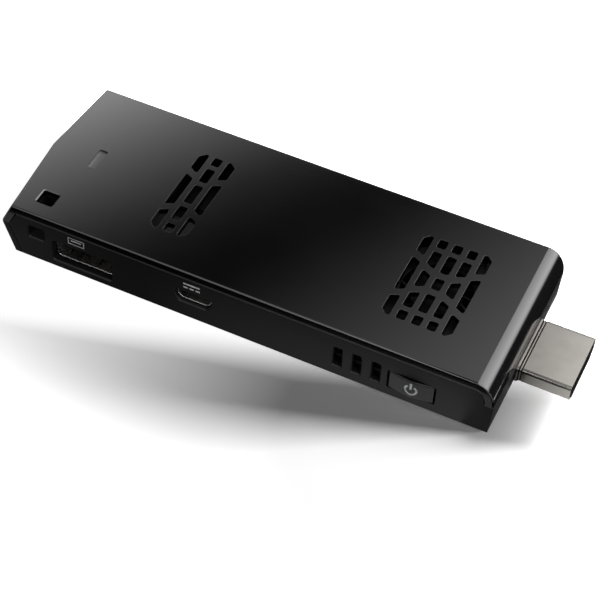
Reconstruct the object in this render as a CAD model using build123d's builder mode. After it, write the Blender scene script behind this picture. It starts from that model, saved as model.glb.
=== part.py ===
from build123d import *
import os
from math import hypot, sqrt

# A stick computer: a flat two-part plastic case with a display plug on its right end. Millimetres, +Z up.
# The origin is on the underside, half way between the case's two ends. +X points to the plug, and the
# long side with the ports faces -Y.

os.makedirs("parts", exist_ok=True)

# Case outline
body_length = 103.4
body_width = 37.6
body_height = 12.5
parting_height = 7.65
end_chevron = 1.55
left_top_setback = 2.4
left_base_setback = 2.6
right_curve = 3.7
right_base_setback = 0.35
wall = 1.3
rim_depth = 1.6
seam_gap = 0.06
seam_chamfer = 0.27
cover_round = 0.35
base_round = 0.5
side_groove_width = 0.22
side_groove_depth = 0.2
side_groove_inset = 1.3
opening_chamfer = 0.26
hole_round = 0.35
match = 0.01

half_width = body_width / 2
body_left = -body_length / 2
body_right = body_length / 2
left_corner = body_left + end_chevron
roof_under = body_height - wall
wall_inner = half_width - wall

# Vent cells in the cover
vent_width = 1.87
vent_pitch = 3.02
vent_bar = 1.1
vent_cross_bar = 1.45
vent_end_cell = 2.3
vent_middle_cell = 3.95
vent_slant = 1.0
vent_diagonal_bar = 1.66
vent_corner_cut = 1.1
vent_round = 0.42
left_vent_half_cell = 2.6
right_vent_half_cell = 1.5
outer_diagonal = 5.1
second_diagonal = 2.8
left_vent_inset = 33.35
vent_half_length = left_vent_half_cell + vent_middle_cell + vent_end_cell + 2 * vent_bar

# Lanyard corner
lanyard_inset = 9.1
lanyard_edge = 5.15
lanyard_size = 3.45
lanyard_side_base = 5.85
lanyard_side_height = 3.0
lanyard_wall = 0.9
lanyard_chamfer = 0.2
lanyard_x = body_left + lanyard_inset
lanyard_y = -half_width + lanyard_edge
lanyard_back = lanyard_y + lanyard_size / 2 + lanyard_wall

# Motherboard
board_thickness = 0.8
board_base = 3.5
board_gap = 0.4
board_left_inset = 6.7
board_right_inset = 5.7
board_round = 1.0
board_top = board_base + board_thickness
board_left = body_left + board_left_inset
board_right = body_right - board_right_inset
board_edge = wall_inner - board_gap

# Screws that hold the board
screw_radius = 0.78
screw_clearance = 0.04
screw_head_radius = 1.3
screw_head_height = 0.7
screw_length = 2.6
screw_slot_width = 0.35
screw_slot_depth = 0.35
post_radius = 1.9
board_screw_left_inset = 8.6
board_screw_back_edge = 3.5
board_screw_front_y = 8.5
board_screw_port_edge = 4.0
board_screw_right_inset = 35.2
board_screw_right_edge = 4.5

# Wide rectangular port
usb_inset = 19.03
usb_height = 4.47
usb_inner_width = 12.5
usb_inner_height = 5.12
usb_sheet = 0.3
usb_depth = 13.0
usb_recess = 1.7
usb_round = 0.9
usb_opening_margin = 0.2
usb_tongue_width = 11.1
usb_tongue_thickness = 1.84
usb_tongue_recess = 0.9
usb_block_depth = 3.0
usb_contact_width = 1.0
usb_contact_thickness = 0.18
usb_contact_inner = 1.0
usb_contact_outer = 3.5
usb_contact_recess = 0.6
usb_spring_offset = 3.25
usb_spring_width = 1.9
usb_spring_length = 5.0
usb_spring_recess = 1.2
usb_spring_slot = 0.3
usb_spring_bump = 0.25
usb_bump_length = 1.4
usb_tab_reach = 1.0
usb_tab_length = 2.4
usb_tab_inset = 2.9
usb_foot = 1.6
usb_x = body_left + usb_inset
usb_front = -half_width + usb_recess
usb_back = usb_front + usb_depth
usb_low = usb_height - usb_inner_height / 2
usb_high = usb_height + usb_inner_height / 2
usb_board_gap = 0.3

# Small power port
micro_offset = 8.78
micro_top_half = 3.65
micro_base_half = 2.7
micro_shell_height = 2.45
micro_shoulder = 1.25
micro_sheet = 0.25
micro_depth = 5.6
micro_recess = 0.8
micro_opening_margin = 0.18
micro_round = 0.35
micro_tongue_width = 4.3
micro_tongue_thickness = 0.6
micro_tongue_height = 1.45
micro_tongue_recess = 0.6
micro_block_depth = 1.6
micro_contact_pitch = 0.65
micro_contact_width = 0.3
micro_contact_thickness = 0.1
micro_tab_reach = 0.7
micro_tab_thickness = 0.25
micro_tab_length = 1.4
micro_tab_inset = 3.2
micro_foot = 0.8
micro_contact_count = 5
micro_x = -micro_offset
micro_front = -half_width + micro_recess
micro_back = micro_front + micro_depth
port_screw_x = (usb_x + usb_inner_width / 2 + usb_sheet + micro_x - micro_top_half) / 2

# Display plug
plug_half_width = 6.95
plug_height = 4.45
plug_centre = 3.87
plug_corner_cut = 1.45
plug_top_round = 0.65
plug_sheet = 0.35
plug_reach = 10.85
plug_root = 5.3
plug_collar = 0.2
plug_collar_start = 0.08
plug_collar_width = 0.45
plug_groove_width = 0.25
plug_groove_depth = 0.2
plug_groove_pitch = 0.5
plug_opening_margin = 0.12
plug_insulator_recess = 0.5
plug_mouth_half_width = 6.0
plug_mouth_height = 1.9
plug_mouth_depth = 9.0
plug_contact_pitch = 1.0
plug_contact_width = 0.3
plug_contact_thickness = 0.15
plug_contact_recess = 0.6
plug_contact_foot = 2.2
plug_contact_bend = 0.8
plug_top_contacts = 10
plug_low_contacts = 9
plug_tab_grip = 1.0
plug_tab_width = 1.6
plug_tab_length = 3.0
plug_tab_thickness = 0.35
plug_tip = body_right + plug_reach
plug_back = body_right - plug_root

# Power button and its switch
button_inset = 15.73
button_height = 4.73
button_opening_width = 9.65
button_opening_height = 4.8
button_side_gap = 0.4
button_end_gap = 0.19
button_crown = 0.65
button_face_gap = 0.02
button_round = 0.25
button_flange_reach = 0.45
button_flange_thickness = 0.45
button_flange_gap = 0.12
button_stem_width = 3.2
button_stem_height = 1.5
button_travel = 0.3
switch_rise = 1.35
switch_width = 6.0
switch_depth = 2.6
switch_body_height = 2.7
switch_recess = 3.2
switch_plunger_width = 2.4
switch_plunger_height = 1.2
switch_plunger_reach = 0.95
switch_plunger_depth = 0.7
switch_plunger_gap = 0.05
switch_touch_gap = 0.04
board_notch_margin = 0.6
board_notch_depth = 1.3
button_x = body_right - button_inset
button_width = button_opening_width - 2 * button_side_gap
switch_centre = board_top + switch_rise
switch_face = -half_width + switch_recess
plunger_tip = switch_face - switch_plunger_reach

# Side vent slots
side_vent_width = 1.87
side_vent_height = 5.0
side_vent_base = 2.6
side_vent_pitch = 3.85
side_vent_inset = 26.75
side_vent_count = 3

# Light window
window_inset = 12.25
window_length = 5.4
window_width = 1.9
window_round = 0.5
window_recess = 0.28
window_fit = 0.02
window_flange = 0.5
window_flange_thickness = 0.5
window_leg_length = 1.6
window_leg_width = 1.2
window_x = body_left + window_inset
led_length = 1.6
led_width = 0.8
led_height = 0.6
led_gap = 0.2

# Memory card slot in the back
card_inset = 30.0
card_width = 13.8
card_depth = 14.0
card_height = 1.45
card_sheet = 0.2
card_edge_gap = 0.6
card_opening_width = 11.6
card_opening_height = 1.0
card_base_thickness = 0.4
card_base_inset = 0.3
card_contact_count = 8
card_contact_pitch = 1.1
card_contact_width = 0.6
card_contact_length = 3.2
card_contact_thickness = 0.12
card_contact_inset = 0.6
card_foot = 0.7
card_x = body_left + card_inset
card_back = wall_inner - card_edge_gap
card_front = card_back - card_depth

# Processor, memory and other chips
cpu_height = 0.8
cpu_leg_gap = 1.7
die_height = 0.35
die_share = 0.5625
memory_middle_gap = 1.5
memory_crystal_gap = 0.8
memory_height = 1.0
storage_inset = 31.7
storage_width = 10.0
storage_height = 1.0
storage_screw_gap = 2.0
storage_card_gap = 3.4
power_chip_offset = 2.6
power_chip_edge = 2.5
power_chip_size = 4.4
power_chip_height = 0.9
inductor_size = 2.5
inductor_height = 1.3
inductor_round = 0.4
inductor_offset = 7.6
inductor_pitch = 3.5
inductor_count = 4
crystal_length = 3.2
crystal_width = 2.2
crystal_height = 0.7
capacitor_length = 1.0
capacitor_width = 0.5
capacitor_height = 0.5
capacitor_edge_inset = 1.4
capacitor_fan_gap = 0.9

# Wireless module and antennas
wireless_inset = 16.4
wireless_width = 11.4
wireless_edge = 1.1
wireless_middle_gap = 2.0
wireless_board_height = 0.5
wireless_shield_height = 1.2
wireless_shield_inset = 0.4
jack_radius = 1.0
jack_height = 0.9
jack_edge = 1.5
antenna_inset = 5.5
antenna_thickness = 0.4
antenna_height = 6.4
main_antenna_length = 11.0
main_antenna_edge = 1.6
aux_length_share = 0.503
aux_place_share = 0.4025
antenna_rib_thickness = 0.8
antenna_rib_height = 3.4
lead_radius = 0.4
lead_bend_share = 0.923
aux_lead_run = 2.6
lead_feed_inset = 1.6
wireless_x = body_left + wireless_inset
wireless_length = board_edge - wireless_edge - wireless_middle_gap
wireless_y = (board_edge - wireless_edge + wireless_middle_gap) / 2
main_antenna_y = wall_inner - main_antenna_edge - main_antenna_length / 2
antenna_span = main_antenna_y - main_antenna_length / 2 - lanyard_back
aux_antenna_length = aux_length_share * antenna_span
aux_antenna_y = lanyard_back + aux_place_share * antenna_span
antenna_x = body_left + antenna_inset
wireless_top = board_top + wireless_board_height + wireless_shield_height
jack_x = wireless_x - wireless_width / 2 + jack_edge
main_jack_y = wireless_y + wireless_length / 2 - jack_edge - wireless_shield_inset
aux_jack_y = wireless_y - wireless_length / 2 + jack_edge + wireless_shield_inset
lead_z = wireless_top + jack_height / 2

# Blower fan
fan_inset = 19.0
fan_side_room = 5.3
fan_roof_gap = 0.8
fan_foot = 0.6
fan_floor = 0.5
fan_wall = 0.7
fan_rim = 1.3
fan_outlet_rim = 0.9
fan_outlet_right = 2.5
fan_cover_thickness = 0.4
fan_inlet_inset = 3.9
fan_corner_round = 1.5
fan_screw_inset = 2.0
fan_screw_length = 3.4
fan_foot_radius = 1.5
fan_tube_radius = 1.45
fan_tube_gap = 0.6
bearing_radius = 1.05
shaft_radius = 0.5
shaft_clearance = 0.03
hub_radius = 5.0
hub_wall = 0.6
hub_roof = 0.6
hub_boss_radius = 1.1
boss_gap = 0.1
shaft_lift = 0.1
rotor_lift = 0.5
rotor_roof_gap = 0.2
blade_count = 15
blade_tip_gap = 1.1
blade_thickness = 0.4
blade_lean = 30
blade_bow = 0.7
shroud_width = 0.6
shroud_height = 0.4
magnet_gap = 0.02
magnet_thickness = 0.5
magnet_base_gap = 0.88
stator_outer_radius = 3.35
stator_yoke_radius = 2.1
stator_arm_width = 0.7
stator_shoe_width = 1.8
stator_shoe_thickness = 0.4
stator_height_share = 0.4375
stator_lift = 0.6
stator_arm_count = 6
coil_wall = 0.22
coil_inset = 0.12
fan_x = body_right - fan_inset
fan_size = 2 * (wall_inner - fan_side_room)
fan_left = fan_x - fan_size / 2
fan_chamber_radius = fan_size / 2 - fan_rim
fan_inlet_radius = fan_chamber_radius - fan_inlet_inset
fan_outlet_left = fan_size / 2 - fan_outlet_rim
fan_screw_offset = fan_size / 2 - fan_screw_inset
fan_base = board_top + fan_foot
fan_floor_top = fan_base + fan_floor
fan_top = roof_under - fan_roof_gap - fan_cover_thickness
blade_tip_radius = fan_chamber_radius - blade_tip_gap
rotor_base = fan_floor_top + rotor_lift
rotor_top = fan_top - rotor_roof_gap
rotor_height = rotor_top - rotor_base
magnet_height = rotor_height - hub_roof - magnet_gap - magnet_base_gap
fan_tube_height = rotor_top - hub_roof - fan_tube_gap - fan_floor_top
stator_height = stator_height_share * fan_tube_height
boss_base = fan_floor_top + fan_tube_height + boss_gap
shaft_base = fan_floor_top + shaft_lift

# Fan lead and its connector
connector_length = 3.0
connector_width = 2.8
connector_height = 1.9
connector_back_gap = 1.0
fan_lead_radius = 0.3
fan_lead_bend_share = 0.72
fan_lead_pitch = 0.64
fan_lead_offset = 1.8
connector_offset = 6.4

# Heat spreader, and the row of chips that it fits between the card slot and the fan
pad_margin = 0.5
pad_height = 0.5
spreader_thickness = 1.0
spreader_left_margin = 2.4
spreader_right_margin = 2.0
spreader_back_margin = 1.7
spreader_fan_gap = 1.7
spreader_arm_edge = 0.6
spreader_arm_gap = 0.4
spreader_arm_start = 2.0
spreader_round = 1.0
spreader_leg_radius = 1.6
spreader_leg_edge = 3.3
spreader_leg_overlap = 0.8
spreader_screw_length = 4.6
fin_count = 9
fin_thickness = 0.35
fin_gap = 0.45
fin_outlet_gap = 1.05
cpu_room_share = 0.45325
memory_room_share = 0.8276
memory_place_share = 0.4483
card_right = card_x + card_width / 2
power_chip_y = board_edge - power_chip_edge
spreader_leg_y = power_chip_y - spreader_leg_edge
cpu_width = cpu_room_share * (fan_left - card_right)
cpu_length = 2 * (spreader_leg_y - spreader_leg_radius - cpu_leg_gap)
spreader_leg_left = cpu_width / 2 + spreader_leg_radius
spreader_leg_right = cpu_width / 2 + spreader_leg_overlap
spreader_left_reach = spreader_leg_left + spreader_left_margin
spreader_right_reach = spreader_leg_right + spreader_right_margin
spreader_half_length = spreader_leg_y + spreader_back_margin
cpu_x = fan_left - spreader_fan_gap - spreader_right_reach
cpu_left = cpu_x - cpu_width / 2
memory_room = cpu_left - 2 * spreader_leg_radius - card_right
memory_width = memory_room_share * memory_room
memory_x = card_right + memory_place_share * memory_room
memory_length = power_chip_y - crystal_width / 2 - memory_crystal_gap - memory_middle_gap
memory_y = memory_middle_gap + memory_length / 2
memory_low_y = memory_y - memory_length - memory_middle_gap
storage_low_y = -half_width + board_screw_port_edge + screw_head_radius + storage_screw_gap
storage_high_y = card_front - storage_card_gap
pad_base = board_top + cpu_height + die_height
spreader_base = pad_base + pad_height
spreader_top = spreader_base + spreader_thickness
arm_right = fan_x - fan_outlet_right
arm_low_y = -wall_inner + spreader_arm_edge
arm_high_y = -fan_size / 2 - spreader_arm_gap
fin_pitch = (fan_outlet_left - fan_outlet_right + fin_outlet_gap - fin_thickness) / (fin_count - 1)

# Snap hooks of the cover
hook_width = 4.0
hook_thickness = 0.9
hook_gap = 0.1
hook_length = 3.0
hook_barb = 0.4
hook_barb_height = 0.8
hook_pocket_gap = 0.12
front_hook_shares = (-0.19, 0.05, 0.44)
back_hook_shares = (-0.39, -0.05, 0.17, 0.44)

# Air slots in the base
base_slot_count = 7
base_slot_width = 1.2
base_slot_length = 9.0
base_slot_pitch = 2.6

# Places of the small capacitors: rows beside the fan and at the board's left end as shares of the board's
# half width, and rows round and under the processor as shares of its width and of the board's half width
fan_row_shares = (-0.5, -0.3, -0.1, 0.1, 0.3)
left_row_shares = (-0.2, 0.0, 0.2)
front_row_shares = (-0.19, -0.025, 0.144, 0.316)
front_row_edge_share = -0.62
low_row_shares = (-0.25, -0.15, -0.05, 0.05, 0.15)
low_row_edge_share = 0.1

board_screw_places = (
    (body_left + board_screw_left_inset, half_width - board_screw_back_edge),
    (body_left + board_screw_left_inset, -board_screw_front_y),
    (port_screw_x, -half_width + board_screw_port_edge),
    (body_right - board_screw_right_inset, -half_width + board_screw_right_edge),
)
fan_screw_places = (
    (fan_x + fan_screw_offset, fan_screw_offset),
    (fan_x + fan_screw_offset, -fan_screw_offset),
    (fan_x - fan_screw_offset, fan_screw_offset),
)
spreader_screw_places = (
    (cpu_x - spreader_leg_left, spreader_leg_y),
    (cpu_x + spreader_leg_right, spreader_leg_y),
)
post_places = board_screw_places + fan_screw_places + spreader_screw_places


def block(x_size, y_size, z_size, x, y, z, mode=Mode.ADD):
    """A box centred on x and y that stands on z, added to the part being built."""
    with Locations((x, y, z)):
        Box(x_size, y_size, z_size, align=(Align.CENTER, Align.CENTER, Align.MIN), mode=mode)


def blocks(x_size, y_size, z_size, places, z, mode=Mode.ADD):
    """Boxes of one size, one centred on each place, that stand on z, added to the part being built."""
    with BuildSketch(Plane.XY.offset(z)) as plan:
        with Locations(places):
            Rectangle(x_size, y_size)
    extrude(plan.sketch, amount=z_size, mode=mode)


def rod(radius, height, x, y, z, mode=Mode.ADD):
    """An upright cylinder that stands on z, added to the part being built."""
    with Locations((x, y, z)):
        Cylinder(radius, height, align=(Align.CENTER, Align.CENTER, Align.MIN), mode=mode)


def rods(radius, height, places, z, mode=Mode.ADD):
    """Upright cylinders of one size, one at each place, that stand on z, added to the part being built."""
    with BuildSketch(Plane.XY.offset(z)) as plan:
        with Locations(places):
            Circle(radius)
    extrude(plan.sketch, amount=height, mode=mode)


def draw_left(inset, shift):
    """Side view with the true left end, drawn in by inset. It runs on past the case's right end."""
    top = body_height - inset
    apex = left_corner + inset + shift
    top_left = apex + left_top_setback * (top - parting_height) / (body_height - parting_height)
    base_left = apex + left_base_setback * (parting_height - inset) / parting_height
    Polygon(
        (apex, parting_height), (base_left, inset), (body_length, inset), (body_length, top), (top_left, top),
        align=None,
    )


def draw_right(inset):
    """Keeps what lies inside the true right end, a quarter ellipse over a nearly upright face."""
    top = body_height - inset
    face = body_right - inset
    low_face = face - right_base_setback * (parting_height - inset) / parting_height
    centre = body_right - right_curve
    with BuildLine() as right_end:
        Polyline(
            (centre, top), (-body_length, top), (-body_length, inset), (low_face, inset),
            (face, parting_height),
        )
        EllipticalCenterArc((centre, parting_height), right_curve - inset, top - parting_height, arc_size=90)
    make_face(right_end.edges(), mode=Mode.INTERSECT)


def case_form(inset):
    """The case's outer form, drawn in by inset all round. Its left end is a shallow chevron in plan."""
    half = half_width - inset
    lean = end_chevron * half / half_width
    with BuildPart() as form:
        with BuildSketch(Plane.XZ.offset(half)):
            draw_left(inset, end_chevron * -inset / half_width)
        extrude(amount=hypot(lean, half), dir=Vector(-lean, half, 0).normalized())
        mirror(about=Plane.XZ)
        with BuildSketch(Plane.XZ.offset(half)):
            Rectangle(3 * body_length, 3 * body_height)
            draw_right(inset)
        extrude(amount=-2 * half, mode=Mode.INTERSECT)
    return form.part


def draw_side_panel(inset, base):
    """Outline of the case's raised side panel above base, drawn in by inset from the case's side view."""
    draw_left(inset, 0)
    draw_right(inset)
    with Locations((0, base)):
        Rectangle(3 * body_length, body_height, align=(Align.CENTER, Align.MIN), mode=Mode.INTERSECT)


def draw_plug(grow):
    """End view of the display plug: square upper corners and cut lower ones, drawn out by grow."""
    half = plug_half_width + grow
    top = plug_centre + plug_height / 2 + grow
    base = plug_centre - plug_height / 2 - grow
    corners = Polygon(
        (-half, base + plug_corner_cut), (-half + plug_corner_cut, base), (half - plug_corner_cut, base),
        (half, base + plug_corner_cut), (half, top), (-half, top),
        align=None,
    )
    fillet(corners.vertices().group_by(Axis.Y)[-1], plug_top_round + grow)
    return corners


def draw_micro(grow):
    """Front view of the small power port: upright shoulders over a narrower base, drawn out by grow."""
    base = board_top - grow
    top = board_top + micro_shell_height + grow
    shoulder = top - micro_shoulder
    outline = Polygon(
        (micro_x - micro_top_half - grow, shoulder), (micro_x - micro_base_half - grow, base),
        (micro_x + micro_base_half + grow, base), (micro_x + micro_top_half + grow, shoulder),
        (micro_x + micro_top_half + grow, top), (micro_x - micro_top_half - grow, top),
        align=None,
    )
    fillet(outline.vertices(), micro_round + grow)


def vent_cell(x, low, low_lean, high, high_lean):
    """One vent cell: a slot centred on x whose ends may lean, up to the left when the lean is positive."""
    half = vent_width / 2
    rise = vent_slant / 2
    Polygon(
        (x - half, low + low_lean * rise), (x + half, low - low_lean * rise),
        (x + half, high - high_lean * rise), (x - half, high + high_lean * rise),
        align=None,
    )


def vent_corner_cell(x, side):
    """The outer column's end cell, its outer corner cut. Side is 1 in the left column, -1 in the right."""
    half = vent_width / 2
    low = outer_diagonal + vent_diagonal_bar / 2
    rise = vent_slant / 2
    points = [
        (x - side * half, low + rise), (x + side * half, low - rise), (x + side * half, vent_half_length),
        (x - side * (half - vent_corner_cut), vent_half_length),
        (x - side * half, vent_half_length - vent_corner_cut),
    ]
    Polygon(*points[::side], align=None)


def vent_centre_cell(x, level, lean):
    """A cell across the middle line, its two ends mirrored."""
    vent_cell(x, -level, -lean, level, lean)


def draw_vent_end(x):
    """The small straight cell at the far end of a vent column."""
    vent_cell(x, vent_half_length - vent_end_cell, 0, vent_half_length, 0)


vent_shoulder = vent_half_length - vent_end_cell - vent_bar
left_vent_x = body_left + left_vent_inset
right_vent_x = fan_x

# Top cover: a moulded lid whose ends reach down to the parting line and whose long sides are a shallow rim
with BuildPart() as top_cover:
    add(case_form(0))
    split(bisect_by=Plane.XY.offset(parting_height), keep=Keep.TOP)
    rim_edges = top_cover.edges().filter_by(
        lambda edge: abs(edge.center().Y) > half_width - match and edge.center().Z > parting_height + match
    )
    ridge_edges = top_cover.edges().filter_by(
        lambda edge: edge.center().X < left_corner + left_top_setback
        and edge.center().Z > body_height - match
    )
    fillet(rim_edges + ridge_edges, cover_round)
    add(case_form(wall), mode=Mode.SUBTRACT)
    for side in (1, -1):
        with BuildSketch(Plane.XZ.offset(side * half_width)):
            draw_side_panel(rim_depth, 0)
        extrude(amount=-side * (wall + seam_gap), mode=Mode.SUBTRACT)
    hooks = [(share, -1) for share in front_hook_shares] + [(share, 1) for share in back_hook_shares]
    for share, side in hooks:
        hook_face = wall_inner - hook_gap
        hook_centre = side * (hook_face - hook_thickness / 2)
        hook_x = share * body_length
        block(
            hook_width, hook_thickness, hook_length + wall / 2, hook_x, hook_centre, roof_under - hook_length,
        )
        with BuildSketch(Plane.YZ.offset(hook_x - hook_width / 2)):
            Polygon(
                (side * (hook_face - hook_thickness / 2), roof_under - hook_length),
                (side * hook_face, roof_under - hook_length),
                (side * (hook_face + hook_barb), roof_under - hook_length + hook_barb_height),
                (side * (hook_face - hook_thickness / 2), roof_under - hook_length + hook_barb_height),
                align=None,
            )
        extrude(amount=hook_width)
    with BuildSketch(Plane.XY.offset(roof_under - wall / 2)) as vents:
        for column in (-1, 1):
            vent_corner_cell(left_vent_x + column * vent_pitch, -column)
            vent_corner_cell(right_vent_x + 2 * column * vent_pitch, -column)
            second_low = second_diagonal + vent_diagonal_bar / 2
            vent_cell(right_vent_x + column * vent_pitch, second_low, -column, vent_shoulder, 0)
            draw_vent_end(right_vent_x + column * vent_pitch)
        vent_cell(left_vent_x, left_vent_half_cell + vent_bar, 0, vent_shoulder, 0)
        vent_cell(right_vent_x, right_vent_half_cell + vent_cross_bar, 0, vent_shoulder, 0)
        draw_vent_end(left_vent_x)
        draw_vent_end(right_vent_x)
        mirror(about=Plane.XZ)
        for column in (-1, 1):
            outer_level = outer_diagonal - vent_diagonal_bar / 2
            vent_centre_cell(left_vent_x + column * vent_pitch, outer_level, -column)
            vent_centre_cell(right_vent_x + 2 * column * vent_pitch, outer_level, -column)
            second_level = second_diagonal - vent_diagonal_bar / 2
            vent_centre_cell(right_vent_x + column * vent_pitch, second_level, -column)
        vent_centre_cell(left_vent_x, left_vent_half_cell, 0)
        vent_centre_cell(right_vent_x, right_vent_half_cell, 0)
        fillet(vents.vertices(), vent_round)
    extrude(amount=2 * wall, mode=Mode.SUBTRACT)
    with BuildSketch(Plane.XY.offset(body_height)):
        with Locations((window_x, 0)):
            RectangleRounded(window_width, window_length, window_round)
    extrude(amount=-2 * wall, mode=Mode.SUBTRACT)
    with BuildSketch(Plane.XY.offset(body_height)):
        with Locations((lanyard_x, lanyard_y)):
            RectangleRounded(lanyard_size, lanyard_size, hole_round)
    extrude(amount=-2 * wall, mode=Mode.SUBTRACT)
    lanyard_edges = top_cover.edges().filter_by(
        lambda edge: edge.center().Z > body_height - match
        and hypot(edge.center().X - lanyard_x, edge.center().Y - lanyard_y) < lanyard_size
    )
    chamfer(lanyard_edges, lanyard_chamfer)
top_cover.part.label = "top_cover"
export_step(top_cover.part, "parts/top_cover.step")

# Bottom case: a moulded tray with raised side panels, port openings, posts and the lanyard pocket
with BuildPart() as bottom_case:
    add(case_form(0))
    split(bisect_by=Plane.XY.offset(parting_height - seam_gap), keep=Keep.BOTTOM)
    fillet(bottom_case.faces().sort_by(Axis.Z)[0].edges(), base_round)
    add(case_form(wall), mode=Mode.SUBTRACT)
    for side in (1, -1):
        with BuildSketch(Plane.XZ.offset(side * half_width)):
            draw_side_panel(rim_depth + seam_gap, parting_height - seam_gap)
        extrude(amount=-side * wall)
    panel_edges = bottom_case.edges().filter_by(
        lambda edge: abs(edge.center().Y) > half_width - match
        and edge.center().Z > parting_height - seam_gap - match
    )
    chamfer(panel_edges, seam_chamfer)
    for side in (1, -1):
        groove_top = left_corner + side_groove_inset
        groove_base = groove_top + left_base_setback
        with BuildSketch(Plane.XZ.offset(side * half_width)):
            Polygon(
                (groove_top, parting_height), (groove_base, 0), (groove_base + side_groove_width, 0),
                (groove_top + side_groove_width, parting_height),
                align=None,
            )
        extrude(amount=-side * side_groove_depth, mode=Mode.SUBTRACT)
    pocket_width = lanyard_size + 2 * lanyard_wall
    pocket_back = lanyard_back
    pocket_base = lanyard_side_base - lanyard_wall
    pocket_front = -wall_inner
    block(
        pocket_width, pocket_back - pocket_front, roof_under - hook_gap - pocket_base,
        lanyard_x, (pocket_back + pocket_front) / 2, pocket_base,
    )
    block(
        lanyard_size, pocket_back - lanyard_wall - pocket_front, body_height,
        lanyard_x, (pocket_back - lanyard_wall + pocket_front) / 2, lanyard_side_base, Mode.SUBTRACT,
    )
    with BuildSketch(Plane.XZ.offset(half_width)):
        with Locations((lanyard_x, lanyard_side_base + lanyard_side_height / 2)):
            RectangleRounded(lanyard_size, lanyard_side_height, hole_round)
        with Locations((usb_x, usb_height)):
            RectangleRounded(
                usb_inner_width + 2 * usb_opening_margin, usb_inner_height, usb_round - usb_sheet,
            )
        for number in range(side_vent_count):
            vent_x = body_right - side_vent_inset - side_vent_pitch * (number - 1)
            with Locations((vent_x, side_vent_base + side_vent_height / 2)):
                RectangleRounded(side_vent_width, side_vent_height, hole_round)
        draw_micro(micro_opening_margin)
    extrude(amount=-wall, mode=Mode.SUBTRACT)
    front_face = bottom_case.faces().group_by(Axis.Y)[0].sort_by(SortBy.AREA)[-1]
    chamfer(front_face.inner_wires().edges(), opening_chamfer)
    with BuildSketch(Plane.XZ.offset(-half_width)):
        with Locations((card_x, board_top + card_base_thickness + card_opening_height / 2)):
            Rectangle(card_opening_width, card_opening_height)
    extrude(amount=wall, mode=Mode.SUBTRACT)
    back_face = bottom_case.faces().group_by(Axis.Y)[-1].sort_by(SortBy.AREA)[-1]
    chamfer(back_face.inner_wires().edges(), opening_chamfer)
    with BuildSketch(Plane.XZ.offset(half_width)):
        with Locations((button_x, button_height)):
            RectangleRounded(button_opening_width, button_opening_height, hole_round)
    extrude(amount=-wall, mode=Mode.SUBTRACT)
    with BuildSketch(Plane.YZ.offset(body_right - right_curve)):
        draw_plug(plug_opening_margin)
    extrude(amount=2 * right_curve, mode=Mode.SUBTRACT)
    rods(post_radius, board_base - wall / 2, post_places, wall / 2)
    rods(screw_radius + screw_clearance, board_base - wall, post_places, wall, Mode.SUBTRACT)
    for share, side in hooks:
        pocket_depth = hook_barb + hook_pocket_gap - hook_gap
        pocket_low = roof_under - hook_length - hook_pocket_gap
        block(
            hook_width + 2 * hook_pocket_gap, 2 * pocket_depth, hook_barb_height + 2 * hook_pocket_gap,
            share * body_length, side * wall_inner, pocket_low, Mode.SUBTRACT,
        )
    for side in (1, -1):
        rib_y = main_antenna_y if side > 0 else aux_antenna_y
        rib_length = main_antenna_length if side > 0 else aux_antenna_length
        block(
            antenna_rib_thickness, rib_length, antenna_rib_height + wall / 2,
            antenna_x + (antenna_thickness + antenna_rib_thickness) / 2, rib_y, wall / 2,
        )
    with BuildSketch():
        for number in range(base_slot_count):
            slot_x = cpu_x + base_slot_pitch * (number - (base_slot_count - 1) / 2)
            with Locations((slot_x, 0)):
                SlotOverall(base_slot_length, base_slot_width, rotation=90)
    extrude(amount=wall, mode=Mode.SUBTRACT)
bottom_case.part.label = "bottom_case"
export_step(bottom_case.part, "parts/bottom_case.step")

# Light window: a pale light pipe held in the cover, with a leg down to the light on the board
with BuildPart() as led_window:
    with BuildSketch(Plane.XY.offset(roof_under)):
        with Locations((window_x, 0)):
            RectangleRounded(
                window_width - 2 * window_fit, window_length - 2 * window_fit, window_round - window_fit,
            )
    extrude(amount=wall - window_recess)
    block(
        window_width + 2 * window_flange, window_length + 2 * window_flange, window_flange_thickness,
        window_x, 0, roof_under - window_flange_thickness,
    )
    leg_base = board_top + led_height + led_gap
    leg_height = roof_under - window_flange_thickness - leg_base
    block(window_leg_width, window_leg_length, leg_height, window_x, 0, leg_base)
led_window.part.label = "led_window"
export_step(led_window.part, "parts/led_window.step")

# Motherboard: one plate cut round the wide port, the button and the screws
with BuildPart() as motherboard:
    with BuildSketch(Plane.XY.offset(board_base)) as board_outline:
        with Locations(((board_left + board_right) / 2, 0)):
            RectangleRounded(board_right - board_left, 2 * board_edge, board_round)
        usb_cut_width = usb_inner_width + 2 * usb_sheet + 2 * usb_board_gap
        usb_cut_depth = usb_back + usb_board_gap + half_width
        with Locations((usb_x, -half_width)):
            Rectangle(usb_cut_width, usb_cut_depth, align=(Align.CENTER, Align.MIN), mode=Mode.SUBTRACT)
        notch_width = button_opening_width + 2 * button_flange_reach + 2 * board_notch_margin
        with Locations((button_x, -board_edge)):
            Rectangle(notch_width, 2 * board_notch_depth, mode=Mode.SUBTRACT)
        with Locations(post_places):
            Circle(screw_radius + screw_clearance, mode=Mode.SUBTRACT)
    extrude(amount=board_thickness)
motherboard.part.label = "motherboard"
export_step(motherboard.part, "parts/motherboard.step")


def make_screws(places, head_base, length):
    """Pan head screws, one at each place, with a crossed slot in the head."""
    with BuildPart() as screws:
        rods(screw_head_radius, screw_head_height, places, head_base)
        rods(screw_radius, length, places, head_base - length)
        slot_base = head_base + screw_head_height - screw_slot_depth
        slot_length = 2 * screw_radius
        blocks(slot_length, screw_slot_width, screw_slot_depth, places, slot_base, Mode.SUBTRACT)
        blocks(screw_slot_width, slot_length, screw_slot_depth, places, slot_base, Mode.SUBTRACT)
    return screws.part


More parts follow.
